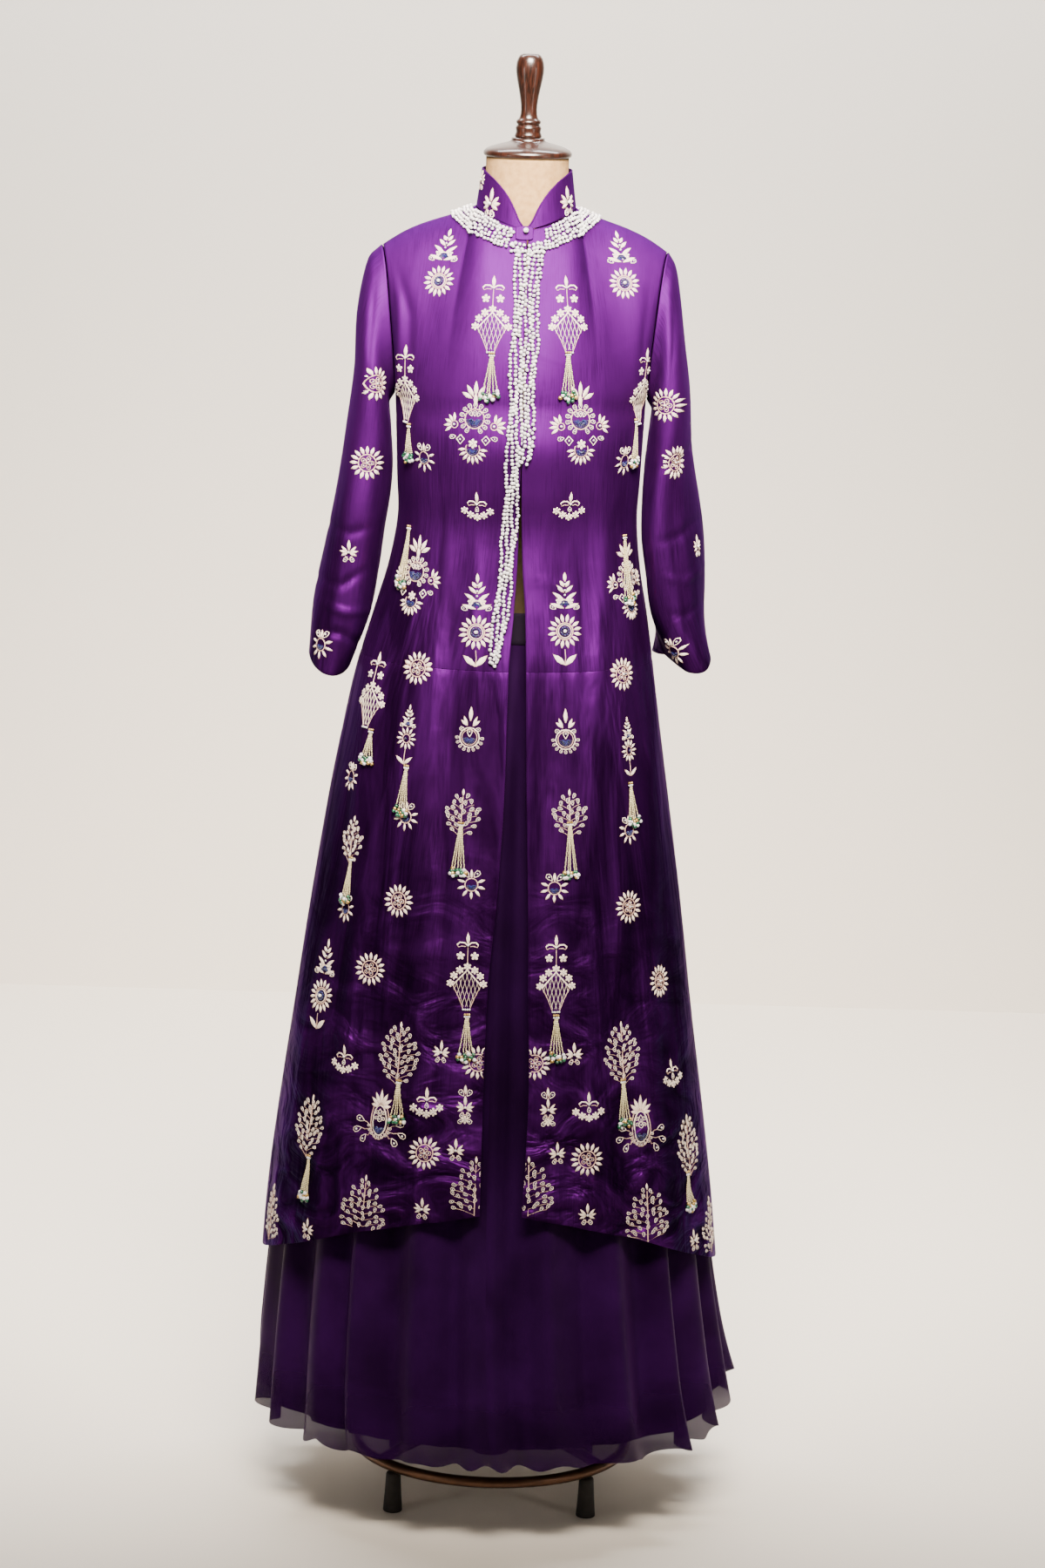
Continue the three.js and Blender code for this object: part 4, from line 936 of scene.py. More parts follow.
# Painted shade: above 0.5 m the colour falls to 0.38 of its value.
painted_shade_under_jacket = add_node(
    tree, "ShaderNodeMapRange",
    {"Value": height_of, "From Min": 0.35, "From Max": 0.5, "To Min": 1.0, "To Max": 0.38},
)
georgette_with_painted_shade = add_node(
    tree, "ShaderNodeHueSaturation", {"Color": ramp.outputs["Color"], "Value": painted_shade_under_jacket.outputs[0]}
)
tree.links.new(georgette_with_painted_shade.outputs["Color"], shader.inputs["Base Color"])
bump = add_node(
    tree, "ShaderNodeBump", {"Height": crimp.outputs["Fac"], "Strength": 0.03, "Distance": 0.0003}
)
tree.links.new(bump.outputs["Normal"], shader.inputs["Normal"])
backed = add_node(
    tree, "ShaderNodeMapRange",
    {"Value": height_of, "From Min": 0.14, "From Max": 0.19, "To Min": 0.74, "To Max": 1.0},
)
tree.links.new(backed.outputs[0], shader.inputs["Alpha"])

# Crepe: opaque and quite matt, a shade darker than the georgette over it.
crepe, tree, shader = new_material("dark_purple_crepe", Roughness=0.85, Specular_IOR_Level=0.1)
mapped = add_node(tree, "ShaderNodeUVMap", uv_map="UVMap").outputs["UV"]
pebble = add_node(tree, "ShaderNodeTexNoise", {"Vector": mapped, "Scale": 700.0, "Detail": 3.0})
ramp = add_node(tree, "ShaderNodeValToRGB", {"Fac": pebble.outputs["Fac"]})
ramp.color_ramp.elements[0].color = linear("#09030d")
ramp.color_ramp.elements[1].color = linear("#130619")
tree.links.new(ramp.outputs["Color"], shader.inputs["Base Color"])
bump = add_node(
    tree, "ShaderNodeBump", {"Height": pebble.outputs["Fac"], "Strength": 0.3, "Distance": 0.0003}
)
tree.links.new(bump.outputs["Normal"], shader.inputs["Normal"])

u = np.linspace(SKIRT_FOLDS, 0, SKIRT_FOLDS * 16 + 1)[None, :]
v = np.concatenate([np.linspace(0, 0.9, 64), np.linspace(0.9, 1, 16)[1:]])[:, None]
points = skirt_surface(
    u + 0 * v, v + 0 * u, hem=108, at_waist=-1, at_hem=-1, share=1, ruffle=7
)
points[:, -1] = points[:, 0]
skirt = cloth_piece(
    "georgette_skirt", points, (2.4, 1.03), 0.8, georgette, "georgette", "skirt_outer", True
)
u = np.linspace(SKIRT_FOLDS, 0, SKIRT_FOLDS * 12 + 1)[None, :]
v = np.linspace(0, 1, 42)[:, None]
points = skirt_surface(
    u + 0 * v, v + 0 * u, hem=129, at_waist=1, at_hem=7, share=0.78, ruffle=0
)
points[:, -1] = points[:, 0]
lining = cloth_piece(
    "crepe_lining", points, (2.2, 1.0), 0.8, crepe, "crepe", "skirt_lining", True
)
u, v = np.linspace(0, 2 * np.pi, 97)[None, :], np.linspace(1108, 1146, 8)[:, None]
points = form_surface(u + 0 * v, v + 0 * u, BAND_OUT)
points[:, -1] = points[:, 0]
band = cloth_piece(
    "crepe_waistband", points, (0.82, 0.04), 2.8, crepe, "crepe", "skirt_waistband", True
)

# ---------------------------------------------------------------- the embroidery
# Zardozi motifs of couched silk cord, pearls and navy beads, worked by hand on the satin. Each is
# drawn once, flat and in millimetres, and is then laid on the cloth at each of its places.
CREAM, CORD, PEARL, NAVY, GOLD, GREEN, STRING = range(7)  # the order of TRIM


def thread_material(name, dark, light, metallic, roughness):
    """Couched thread: fine ridges about half a millimetre apart, a little uneven in colour."""
    material, tree, shader = new_material(name, Metallic=metallic, Roughness=roughness)
    place = add_node(tree, "ShaderNodeTexCoord").outputs["Object"]
    ply = add_node(
        tree, "ShaderNodeTexWave", {"Vector": place, "Scale": 480.0, "Distortion": 3.0},
        bands_direction="DIAGONAL",
    )
    ramp = add_node(tree, "ShaderNodeValToRGB", {"Fac": ply.outputs["Fac"]})
    ramp.color_ramp.elements[0].color = linear(dark)
    ramp.color_ramp.elements[1].color = linear(light)
    tree.links.new(ramp.outputs["Color"], shader.inputs["Base Color"])
    bump = add_node(
        tree, "ShaderNodeBump", {"Height": ply.outputs["Fac"], "Strength": 0.5, "Distance": 0.0004}
    )
    tree.links.new(bump.outputs["Normal"], shader.inputs["Normal"])
    return material


def bead_material(name, dark, light, metallic, roughness):
    """Small beads: each a little different in colour, with a clear gloss."""
    material, tree, shader = new_material(
        name, Metallic=metallic, Roughness=roughness, Coat_Weight=0.5, Coat_Roughness=0.08
    )
    place = add_node(tree, "ShaderNodeTexCoord").outputs["Object"]
    cell = add_node(tree, "ShaderNodeTexNoise", {"Vector": place, "Scale": 260.0, "Detail": 1.0})
    ramp = add_node(tree, "ShaderNodeValToRGB", {"Fac": cell.outputs["Fac"]})
    ramp.color_ramp.elements[0].position = 0.35
    ramp.color_ramp.elements[0].color = linear(dark)
    ramp.color_ramp.elements[1].position = 0.65
    ramp.color_ramp.elements[1].color = linear(light)
    tree.links.new(ramp.outputs["Color"], shader.inputs["Base Color"])
    return material


pearl_coat = bead_material("pearl", "#a29ea6", "#dedad6", 0.0, 0.2)
TRIM = [
    thread_material("cream_silk_thread", "#b39c84", "#f2e2d2", 0.0, 0.5),
    thread_material("rose_silk_cord", "#8a6656", "#dcb8a6", 0.1, 0.42),
    pearl_coat,
    bead_material("navy_glass", "#0c0d2c", "#22245c", 0.0, 0.14),
    bead_material("gold_metal_bead", "#8d6f34", "#cfae66", 0.8, 0.3),
    bead_material("green_glass", "#082a1a", "#16573a", 0.0, 0.12),
    thread_material("pale_gold_string", "#b3a474", "#efe2b6", 0.2, 0.4),
]


def thread(bm, path, widths, height=0.9, kind=CREAM, lift=0.0):
    """A ridge of stitches along a line: its edges go into the cloth and its middle stands up."""
    path = np.asarray(path, float)
    rows = len(path)
    widths = np.broadcast_to(np.asarray(widths, float), rows) / 2
    ahead = np.gradient(path, axis=0)
    ahead /= np.maximum(np.linalg.norm(ahead, axis=1, keepdims=True), 1e-6)
    across = np.stack([ahead[:, 1], -ahead[:, 0]], axis=1)
    tops = height * np.minimum(widths / max(widths.max(), 1e-6) * 1.3, 1)
    verts = bmesh.ops.create_grid(bm, x_segments=2, y_segments=rows - 1, size=0.5)["verts"]
    for j in range(rows):
        for i in range(3):
            x, y = path[j] + across[j] * widths[j] * (i - 1)
            verts[3 * j + i].co = (x, y, lift + tops[j] if i == 1 else lift - 0.4)
    for face in {face for vert in verts for face in vert.link_faces}:
        face.material_index = kind
        face.smooth = True


def bead(bm, x, y, radius, kind=PEARL, lift=0.0, detail=1):
    """A round bead, sunk a little into what it is sewn to."""
    made = bmesh.ops.create_icosphere(bm, subdivisions=detail, radius=radius)
    bmesh.ops.translate(bm, verts=made["verts"], vec=(x, y, radius * 0.7 + lift))
    for face in {face for vert in made["verts"] for face in vert.link_faces}:
        face.material_index = kind
        face.smooth = True


def ray(angle, reach, x=0.0, y=0.0):
    """The point at a distance from a centre. Angles are in degrees, from straight up, clockwise."""
    a = math.radians(angle)
    return x + reach * math.sin(a), y + reach * math.cos(a)


# A petal's layers: what each is made of, how much wider it is, its height and how far off the
# cloth it starts, and then its widths at some shares of its length.
PETAL_LAYERS = (
    (CORD, 0.9, 0.55, 0.0,
     (0.0, 0.2, 0.45, 0.7, 0.9, 1.0), (0.35, 0.8, 1.0, 0.85, 0.45, 0.05)),
    (CREAM, 0.0, 1.5, 0.1,
     (0.06, 0.24, 0.46, 0.68, 0.85, 0.93), (0.2, 0.72, 0.95, 0.75, 0.32, 0.04)),
)


def petal(bm, x, y, angle, length, width):
    """A padded petal that grows from a point, with a cord couched round it."""
    for kind, wider, height, lift, reaches, shares in PETAL_LAYERS:
        line = [ray(angle, length * t, x, y) for t in reaches]
        thread(bm, line, [share * (width + wider) for share in shares], height, kind, lift)


def loop(bm, x, y, angle, size, kind=CREAM):
    """A teardrop of cord that starts and ends at a point, with a seed pearl in it."""
    line = []
    for k in range(9):
        sweep = 2 * math.pi * k / 8
        aside = 0.42 * size * math.sin(sweep) * math.sin(sweep / 2)
        away = size * (1 - math.cos(sweep)) / 2
        px, py = ray(angle, away, x, y)
        qx, qy = ray(angle + 90, aside)
        line.append((px + qx, py + qy))
    thread(bm, line, min(1.2, size * 0.16), 0.9, kind)
    bead(bm, *ray(angle, size * 0.6, x, y), size * 0.13)


def ring_of(bm, x, y, radius, width, kind=CREAM, first=0.0, last=360.0, steps=16):
    """A ring of thread, or a part of one."""
    line = [ray(first + (last - first) * k / steps, radius, x, y) for k in range(steps + 1)]
    thread(bm, line, width, 0.8, kind)


def flower(bm, x, y, radius, petals=5):
    """A small flat flower with a pearl in its middle."""
    for k in range(petals):
        angle = 360 * k / petals
        line = [ray(angle, radius * t, x, y) for t in (0.15, 0.55, 0.85, 1.0)]
        width = 2 * radius * math.sin(math.pi / petals) * 0.72
        thread(bm, line, [width * 0.4, width, width * 0.85, width * 0.2], 1.1)
    bead(bm, x, y, radius * 0.2, PEARL, 0.6)


def crescent(bm, x, y, radius, rows, first=95.0, last=265.0):
    """Navy beads in curved rows that fill the lower part of a disc, over a navy pad."""
    ring_of(bm, x, y, radius * 0.55, radius * 0.9, NAVY, first, last, 8)
    for row in range(rows):
        reach = radius * (1 - row / (rows + 0.6))
        count = max(2, round(math.radians(last - first) * reach / 1.9))
        for k in range(count):
            bead(bm, *ray(first + (last - first) * (k + 0.5) / count, reach, x, y), 0.95, NAVY)


def draw_sunflower(bm, x=0.0, y=0.0, radius=21.5):
    """Sixteen petals round a cord ring, with navy beads and a pearl inside."""
    for k in range(16):
        angle = 360 * (k + 0.5) / 16
        petal(bm, *ray(angle, radius * 0.5, x, y), angle, radius * 0.5, radius * 0.245)
    ring_of(bm, x, y, radius * 0.47, 2.0, CORD)
    ring_of(bm, x, y, radius * 0.37, 1.4)
    for k in range(10):
        bead(bm, *ray(36 * k, radius * 0.22, x, y), 1.5, NAVY)
    bead(bm, x, y, 2.3, PEARL, 0.3, 2)


def draw_rosette(bm, radius=21.0):
    """Sixteen petals round a ring, with five cord loops inside."""
    for k in range(16):
        angle = 360 * k / 16
        petal(bm, *ray(angle, radius * 0.53), angle, radius * 0.47, radius * 0.24)
    ring_of(bm, 0, 0, radius * 0.5, 1.9, CORD)
    for k in range(5):
        loop(bm, *ray(72 * k, 0.6), 72 * k + 20, radius * 0.36, CORD)
    bead(bm, 0, 0, 1.5, PEARL, 0.5)


def draw_sprig(bm, x=0.0, y=0.0, size=1.0):
    """Leaf pairs that widen downwards, over a little navy half disc."""
    for height, spread, length in ((27, 34, 9), (20, 46, 13), (11, 56, 17), (1, 70, 18)):
        for side in (-1, 1):
            petal(bm, x + side * size, y + height * size, side * spread, length * size, 5.4 * size)
    petal(bm, x, y + 33 * size, 0, 12 * size, 5.4 * size)
    for side in (-1, 1):
        flower(bm, x + side * 7 * size, y + 10 * size, 4.2 * size)
        loop(bm, x + side * 11 * size, y, side * 60, 8 * size)
    for height in (30, 23, 17):
        bead(bm, x, y + height * size, 1.4)
    crescent(bm, x, y + 4 * size, 5.5 * size, 2, -90, 90)
    ring_of(bm, x, y + 4 * size, 7.4 * size, 1.8, first=-95, last=95, steps=10)


def draw_sprig_sunflower(bm):
    """A sprig over a sunflower."""
    draw_sprig(bm, 0, 6)
    draw_sunflower(bm, 0, -20, 20.0)


def draw_sunflower_leaves(bm):
    """A sprig over a sunflower on a stem with two leaves."""
    draw_sprig(bm, 0, 13)
    draw_sunflower(bm, 0, -14)
    thread(bm, [(0, -36), (0.8, -46), (0, -53)], 1.2, 0.8, CORD)
    for side in (-1, 1):
        petal(bm, 0, -55, side * 48, 20, 8.5)


def draw_bracket(bm, y, reach):
    """A bud between two curled arms."""
    arm = ((0, -1), (0.35, 2.2), (0.75, 2.4), (1, -0.6))
    curl = ((1, -0.6), (0.86, -3.6), (0.6, -2), (0.2, -2.4))
    petal(bm, 0, y, 0, 15, 5.4)
    for side in (-1, 1):
        thread(bm, [(side * reach * a, y + b) for a, b in arm], 2.3, 1.1)
        thread(bm, [(side * reach * a, y + b) for a, b in curl], 1.3, 0.8, CORD)
    bead(bm, 0, y - 1, 1.6)


def draw_lantern(bm):
    """A hanging lantern of flowers over a basket of crossed threads."""
    draw_bracket(bm, 34, 13)
    thread(bm, [(0, 32), (0, 22), (0, 10)], 1.2, 0.8, CORD)
    for side in (-1, 1):
        flower(bm, side * 8.6, 20, 5.2)
    for x, y in ((-20, -14), (-16, -4.5), (-9, 2.5), (0, 7), (9, 2.5), (16, -4.5), (20, -14)):
        flower(bm, x, y, 5.0, 6)
    for side in (-1, 1):
        thread(bm, [(0, 3), (side * 8, -6), (side * 17, -16)], 2.2, 1.2)
        thread(bm, [(side * 17, -16), (side * 10, -30), (side * 4.5, -44)], 1.1, 0.9, CORD)
    for k in range(7):
        for slope in (-1, 1):
            line = []
            for j in range(25):
                y = 2 - 2 * j
                x = slope * (1.7 * j - 62 + 14 * k) * 0.36
                half = (2 - y) if y > -16 else 4.5 + 13.5 * (y + 44) / 28
                if abs(x) < half and y > -44:
                    line.append((x, y))
            if len(line) > 1:
                thread(bm, line, 0.6, 0.6)
    for x in (-4, -1.4, 1.4, 4):
        bead(bm, x, -45.5, 1.5)


def draw_medallion(bm):
    """A round medallion under a fan of petals, between two half flowers and over a third."""
    for angle, length in ((0, 19), (-32, 17), (32, 17), (-62, 15), (62, 15)):
        petal(bm, *ray(angle, 5, 0, 26), angle, length, 6.6)
    petal(bm, 0, 20, 0, 15, 6.5)
    for k in range(13):
        angle = -150 + 25 * k
        loop(bm, *ray(angle, 12.5, 0, 4), angle, 7.0)
    ring_of(bm, 0, 4, 12, 2.0, CORD)
    crescent(bm, 0, 4, 9.4, 4)
    for k in (-1, 0, 1):
        loop(bm, 3.4 * k, 7, 28 * k, 7.0)
    for side in (-1, 1):
        for angle in (5, 35, 65, 95, 125):
            petal(bm, *ray(side * angle, 4, side * 25, -4), side * angle, 11, 4.6)
        ring_of(bm, side * 25, -4, 4.4, 1.6, CORD, 0, 360, 10)
        bead(bm, side * 25, -4, 1.7)
        diamond = ((16, -16), (21, -21), (16, -27), (11, -21), (16, -16))
        thread(bm, [(side * x, y) for x, y in diamond], 1.8, 1.0)
        bead(bm, side * 16, -21.3, 1.4)
        loop(bm, side * 22, -18, side * 100, 8)
    for k in range(9):
        angle = 95 + 21.25 * k
        petal(bm, *ray(angle, 9, 0, -32), angle, 10, 4.4)
    ring_of(bm, 0, -32, 8.8, 1.7, CORD, 60, 300, 12)
    crescent(bm, 0, -32, 6.6, 2)
    flower(bm, 0, -26, 6.0, 6)


def draw_cluster(bm):
    """A half flower of seven petals under a bud and two loops."""
    for k in range(7):
        angle = 70 + 36.7 * k
        petal(bm, *ray(angle, 8, 0, -3), angle, 10, 4.4)
    ring_of(bm, 0, -3, 7.8, 1.7, CORD)
    crescent(bm, 0, -3, 5.4, 2)
    for side in (-1, 1):
        loop(bm, side * 3, 6, side * 42, 10)
    petal(bm, 0, 5, 0, 11, 4.6)


def draw_crown(bm):
    """A bracket over five little flowers."""
    draw_bracket(bm, 5, 12)
    for x, y in ((-16, -5), (-8.4, -10), (0, -12.5), (8.4, -10), (16, -5)):
        flower(bm, x, y, 5.0, 6)
    loop(bm, 0, 1, 180, 7)


def draw_drop(bm):
    """A round drop under a fan of petals."""
    petal(bm, 0, 11, 0, 18, 6.2)
    for side in (-1, 1):
        for angle, length in ((22, 13), (50, 11)):
            petal(bm, side * 3.5, 5, side * angle, length, 4.4)
        loop(bm, side * 6, 0, side * 75, 7)
    ring_of(bm, 0, -9, 12, 1.7)
    ring_of(bm, 0, -9, 9.4, 1.2, CORD)
    loop(bm, 0, -8, 0, 10)
    crescent(bm, 0, -9, 7.2, 3)
    for k in range(9):
        loop(bm, *ray(92 + 22 * k, 12.5, 0, -9), 92 + 22 * k, 5.0)


def draw_sprig_star(bm):
    """A small sprig over a star of twelve petals on a stem with two leaves."""
    draw_sprig(bm, 0, 14, 0.62)
    for k in range(12):
        petal(bm, *ray(30 * k, 6, 0, 0), 30 * k, 8.5, 3.8)
    ring_of(bm, 0, 0, 5.4, 1.5, CORD, 0, 360, 12)
    bead(bm, 0, 0, 2.0, NAVY, 0.3)
    thread(bm, [(0, -14), (0, -22), (0, -30)], 1.2, 0.8, CORD)
    for side in (-1, 1):
        petal(bm, 0, -31, side * 52, 15, 5.6)


def draw_tree(bm, width, height, rows, low=False):
    """Curled loops with seed pearls on branches that leave a trunk. low puts its width low down."""
    thread(bm, [(0, -height / 2), (0, 0), (0, height * 0.4)], 1.6, 0.9, CORD)
    for row in range(rows):
        t = (row + 0.5) / rows
        bulge = 0.3 + 0.66 * t if low else 0.12 + 0.8 * t
        half = width / 2 * math.sin(math.pi * bulge) ** 0.8
        y = -height / 2 + (0.06 + 0.86 * t) * height
        count = max(1, round(2 * half / 8.4))
        for k in range(count):
            x = (k - (count - 1) / 2) * 2 * half / max(count, 2) + 1.2 * math.sin(5 * k + 3 * row)
            angle = math.degrees(math.atan2(x * 1.3, height * 0.32 + y * 0.5))
            lean = 38 * math.sin(7.3 * k + 4.1 * row)
            loop(bm, x, y + 1.6 * math.sin(9 * k + row), angle + lean, 5.9)
        for side in (-1, 1):
            branch = [(0, y - 7), (side * half * 0.5, y - 2), (side * half * 0.85, y)]
            thread(bm, branch, 0.8, 0.5, CORD)
    petal(bm, 0, height * 0.42, 0, 9, 4.0)


def draw_small_sprig(bm):
    """A bud with three leaves to each side."""
    petal(bm, 0, 2, 0, 13, 5)
    for side in (-1, 1):
        for angle, length in ((42, 11), (78, 10), (118, 9)):
            petal(bm, side * 1.5, -1, side * angle, length, 4)
        loop(bm, side * 2, -6, side * 150, 7)
    bead(bm, 0, 0, 1.8)
    ring_of(bm, 0, -5, 4, 1.3, CORD, 90, 270, 6)


def draw_tall_sprig(bm):
    """The small sprig with loops, a second bud above and a flower below."""
    draw_small_sprig(bm)
    for side in (-1, 1):
        loop(bm, side * 2, 14, side * 36, 9)
        loop(bm, side * 2, -14, side * 130, 8)
    petal(bm, 0, 16, 0, 12, 4.6)
    flower(bm, 0, -15, 5.2, 6)


def draw_leaf_medallion(bm):
    """A tall medallion under seven leaves, with three curls to each side."""
    for angle, length in ((0, 20), (-26, 17), (26, 17), (-52, 15), (52, 15), (-80, 11), (80, 11)):
        petal(bm, *ray(angle, 3, 0, 14), angle, length, 5.6)
    for reach, width, kind in ((9.5, 2.0, CREAM), (12.5, 1.6, CORD)):
        line = [ray(24 * k, reach) for k in range(16)]
        thread(bm, [(x, y * 1.75 - 4 + max(0, y) * 0.4) for x, y in line], width, 1.0, kind)
    for y in (12, 5):
        loop(bm, 0, y, 180, 9)
        for side in (-1, 1):
            loop(bm, side * 1.5, y - 3, side * 115, 6)
    crescent(bm, 0, -10, 7.2, 3)
    for k in range(9):
        loop(bm, *ray(100 + 20 * k, 12, 0, -8), 100 + 20 * k, 5.0)
    for side in (-1, 1):
        for x, y, angle in ((22, -6, 70), (25, -15, 112), (18, -22, 150)):
            thread(bm, [(side * 10, -14), (side * x * 0.8, y - 1), (side * x, y)], 1.2, 0.8, CORD)
            loop(bm, side * x, y, side * angle, 11)


MOTIFS = {
    "sprig_sunflower": draw_sprig_sunflower, "sunflower_leaves": draw_sunflower_leaves,
    "sunflower": draw_sunflower, "rosette": draw_rosette, "lantern": draw_lantern,
    "medallion": draw_medallion, "cluster": draw_cluster, "crown": draw_crown,
    "drop": draw_drop, "sprig_star": draw_sprig_star, "small_sprig": draw_small_sprig,
    "tall_sprig": draw_tall_sprig, "leaf_medallion": draw_leaf_medallion,
    "tree_small": lambda bm: draw_tree(bm, 42, 54, 7),
    "tree_big": lambda bm: draw_tree(bm, 50, 76, 10),
    "tree_low": lambda bm: draw_tree(bm, 60, 70, 8, True),
}

# Where each motif's middle lies on the jacket's front, in millimetres to the side and up. The
# back repeats them, apart from its middle.
FRONT_PLACES = {
    "sprig_sunflower": [(-100, 1562), (119, 1565)],
    "lantern": [(-37, 1509), (54, 1511), (-140, 1417), (148, 1421), (-172, 1043), (-45, 719),
                (63, 718)],
    "medallion": [(-55, 1381), (73, 1383), (-122, 1187), (137, 1186)],
    "cluster": [(-115, 1335), (128, 1336), (-194, 937), (-43, 828),
                (58, 825), (-196, 780), (-125, 903), (147, 888)],
    "crown": [(-49, 1277), (63, 1280), (-193, 596), (211, 579), (-90, 557), (108, 555)],
    "sunflower_leaves": [(-46, 1140), (61, 1143), (-223, 678)],
    "rosette": [(-116, 1078), (134, 1074), (-131, 798), (150, 793), (-164, 711), (191, 695),
                (-91, 496), (108, 492), (-29, 610), (40, 611)],
    "drop": [(-50, 1010), (66, 1009)],
    "sprig_star": [(-127, 993), (144, 981), (-149, 1262), (151, 1259)],
    "tree_small": [(-57, 909), (74, 910), (-191, 860)],
    "tree_big": [(-125, 613), (147, 615), (-234, 504), (233, 484)],
    "small_sprig": [(-74, 620), (88, 620), (-53, 502), (71, 500), (-92, 427), (110, 424),
                    (-234, 380), (246, 364)],
    "tall_sprig": [(-43, 555), (58, 554)],
    "leaf_medallion": [(-147, 532), (173, 526)],
    "tree_low": [(-282, 375), (-164, 423), (-28, 458), (37, 460), (185, 416), (265, 371)],
}
SLEEVE_PLACES = {
    "rosette": [(-176, 1417), (-185, 1320), (190, 1331), (176, 1401)],
    "small_sprig": [(-205, 1210), (222, 1223)],
    "cluster": [(-237, 1096), (196, 1100)],
}


def finder_of(*pieces):
    """A tree that finds where a line meets the middle surface of some cloth pieces."""
    bm = bmesh.new()
    for piece in pieces:
        bm.from_mesh(piece.data)
    finder = BVHTree.FromBMesh(bm)
    bm.free()
    return finder


def template_of(draw):
    """A flat drawing of a motif, to be laid as often as it is needed."""
    bm = bmesh.new()
    draw(bm)
    return mesh_of(bm, "flat")


FACE = SATIN_WALL / 2  # from the middle of the satin to its face, in millimetres
RAY_START = 0.04  # how far off the cloth a stitch is let down from, in metres
RAY_REACH = 0.09


def lay(bm, template, x, z, ground, forward, size=1.0):
    """Lays a flat drawing on the cloth at a place seen from the front or the back."""
    look = Vector((0, -forward, 0))
    spot, normal, _, _ = ground.ray_cast(Vector((x / 1000, forward, z / 1000)), look)
    if spot is None:
        return
    if normal.dot(look) > 0:
        normal = -normal
    right = Vector((0, 0, 1)).cross(normal).normalized()
    rise = normal.cross(right)
    laid = bmesh.new()
    laid.from_mesh(template)
    missed = []
    for vert in laid.verts:
        start = spot + (right * vert.co.x + rise * vert.co.y) * (size / 1000)
        hit, there, _, _ = ground.ray_cast(start + normal * RAY_START, -normal, RAY_REACH)
        if hit is None:
            missed.append(vert)
            continue
        if there.dot(normal) < 0:
            there = -there
        vert.co = hit + there * ((vert.co.z * size + FACE) / 1000)
    bmesh.ops.delete(laid, geom=missed, context="VERTS")
    mesh = mesh_of(laid, "laid")
    bm.from_mesh(mesh)
    bpy.data.meshes.remove(mesh)


templates = {name: template_of(draw) for name, draw in MOTIFS.items()}
jacket = finder_of(upper_right, lower_right, upper_left, lower_left, upper_back, lower_back)


def embroider(name, places, ground, forward, keep):
    """Lays the motifs whose place across is one to keep. forward is -1 in front, 1 at the back."""
    bm = bmesh.new()
    for motif, spots in places.items():
        for x, z in spots:
            if keep(x):
                lay(bm, templates[motif], x, z, ground, forward)
    add_object(name, mesh_of(bm, name, *TRIM), "beads")


embroider("embroidery_front_right", FRONT_PLACES, jacket, -1, lambda x: x > 0)
embroider("embroidery_front_left", FRONT_PLACES, jacket, -1, lambda x: x < 0)
embroider("embroidery_back_right", FRONT_PLACES, jacket, 1, lambda x: x > 45)
embroider("embroidery_back_left", FRONT_PLACES, jacket, 1, lambda x: x < -40)
for side, piece in ((1, sleeve_right), (-1, sleeve_left)):
    for forward, face in ((-1, "front"), (1, "back")):
        embroider(
            f"embroidery_{piece.name}_{face}", SLEEVE_PLACES, finder_of(piece), forward,
            lambda x: x * side > 0,
        )
bm = bmesh.new()
ground = finder_of(collar)
for x, z, size in ((-43, 1637, 1.3), (50, 1641, 1.3), (-54, 1664, 1.0), (58, 1667, 1.0)):
    lay(bm, templates["small_sprig"], x, z, ground, -1, size)
add_object("embroidery_collar", mesh_of(bm, "embroidery_collar", *TRIM), "beads")

# ---------------------------------------------------------------- the pearls
# Glass pearls 4.7 mm across. Six rows lie round the neckband, and long strands edge both fronts:
# four down the left one past the waist, and three down the right one to below the bust.
PEARL_SIZE = 4.7
PEARL_STEP = PEARL_SIZE * 1.03
random = np.random.default_rng(8)
pearls = bmesh.new()


def add_pearl(place, normal, lift=0.0):
    """A slightly uneven pearl that rests on the cloth."""
    radius = PEARL_SIZE / 2 * random.uniform(0.9, 1.08) / 1000
    made = bmesh.ops.create_icosphere(pearls, subdivisions=2, radius=radius)
    squash = Matrix.Diagonal((1, random.uniform(0.88, 1), random.uniform(0.86, 1), 1))
    spin = Matrix.Rotation(random.uniform(0, 6.28), 4, random.normal(size=3))
    shift = Matrix.Translation(place + normal * (radius + (FACE + lift) / 1000))
    bmesh.ops.transform(pearls, matrix=shift @ spin @ squash, verts=made["verts"])


# The neckband's rows. For each degree round the neck a track runs out over the cloth from the
# neckline, and each row lies at one distance along the tracks. The three inner rows leave the tab
# free in front.
yoke = finder_of(upper_right, upper_left, upper_back)
NECK_ROWS = [2.6, 7.2, 11.8, 17.6, 22.2, 26.8]
NECKLINE = {"half": 63.5, "front": 67.5, "back": 57.5, "middle": 4}
DOWN = Vector((0, 0, -1))
tracks = []
for step in range(361):
    a = math.radians(step)
    depth = NECKLINE["front"] if math.cos(a) > 0 else NECKLINE["back"]
    start = Vector((math.sin(a) * NECKLINE["half"], NECKLINE["middle"] - math.cos(a) * depth, 0))
    ahead = Vector((math.sin(a), -math.cos(a), 0))
    line = []
    for k in range(40):
        spot = start + ahead * k
        above = Vector((spot.x / 1000, spot.y / 1000, 1.8))
        hit, normal, _, _ = yoke.ray_cast(above, DOWN, 0.35)
        if hit is not None:
            line.append((hit, normal if normal.z > 0 else -normal))
    tracks.append(line)
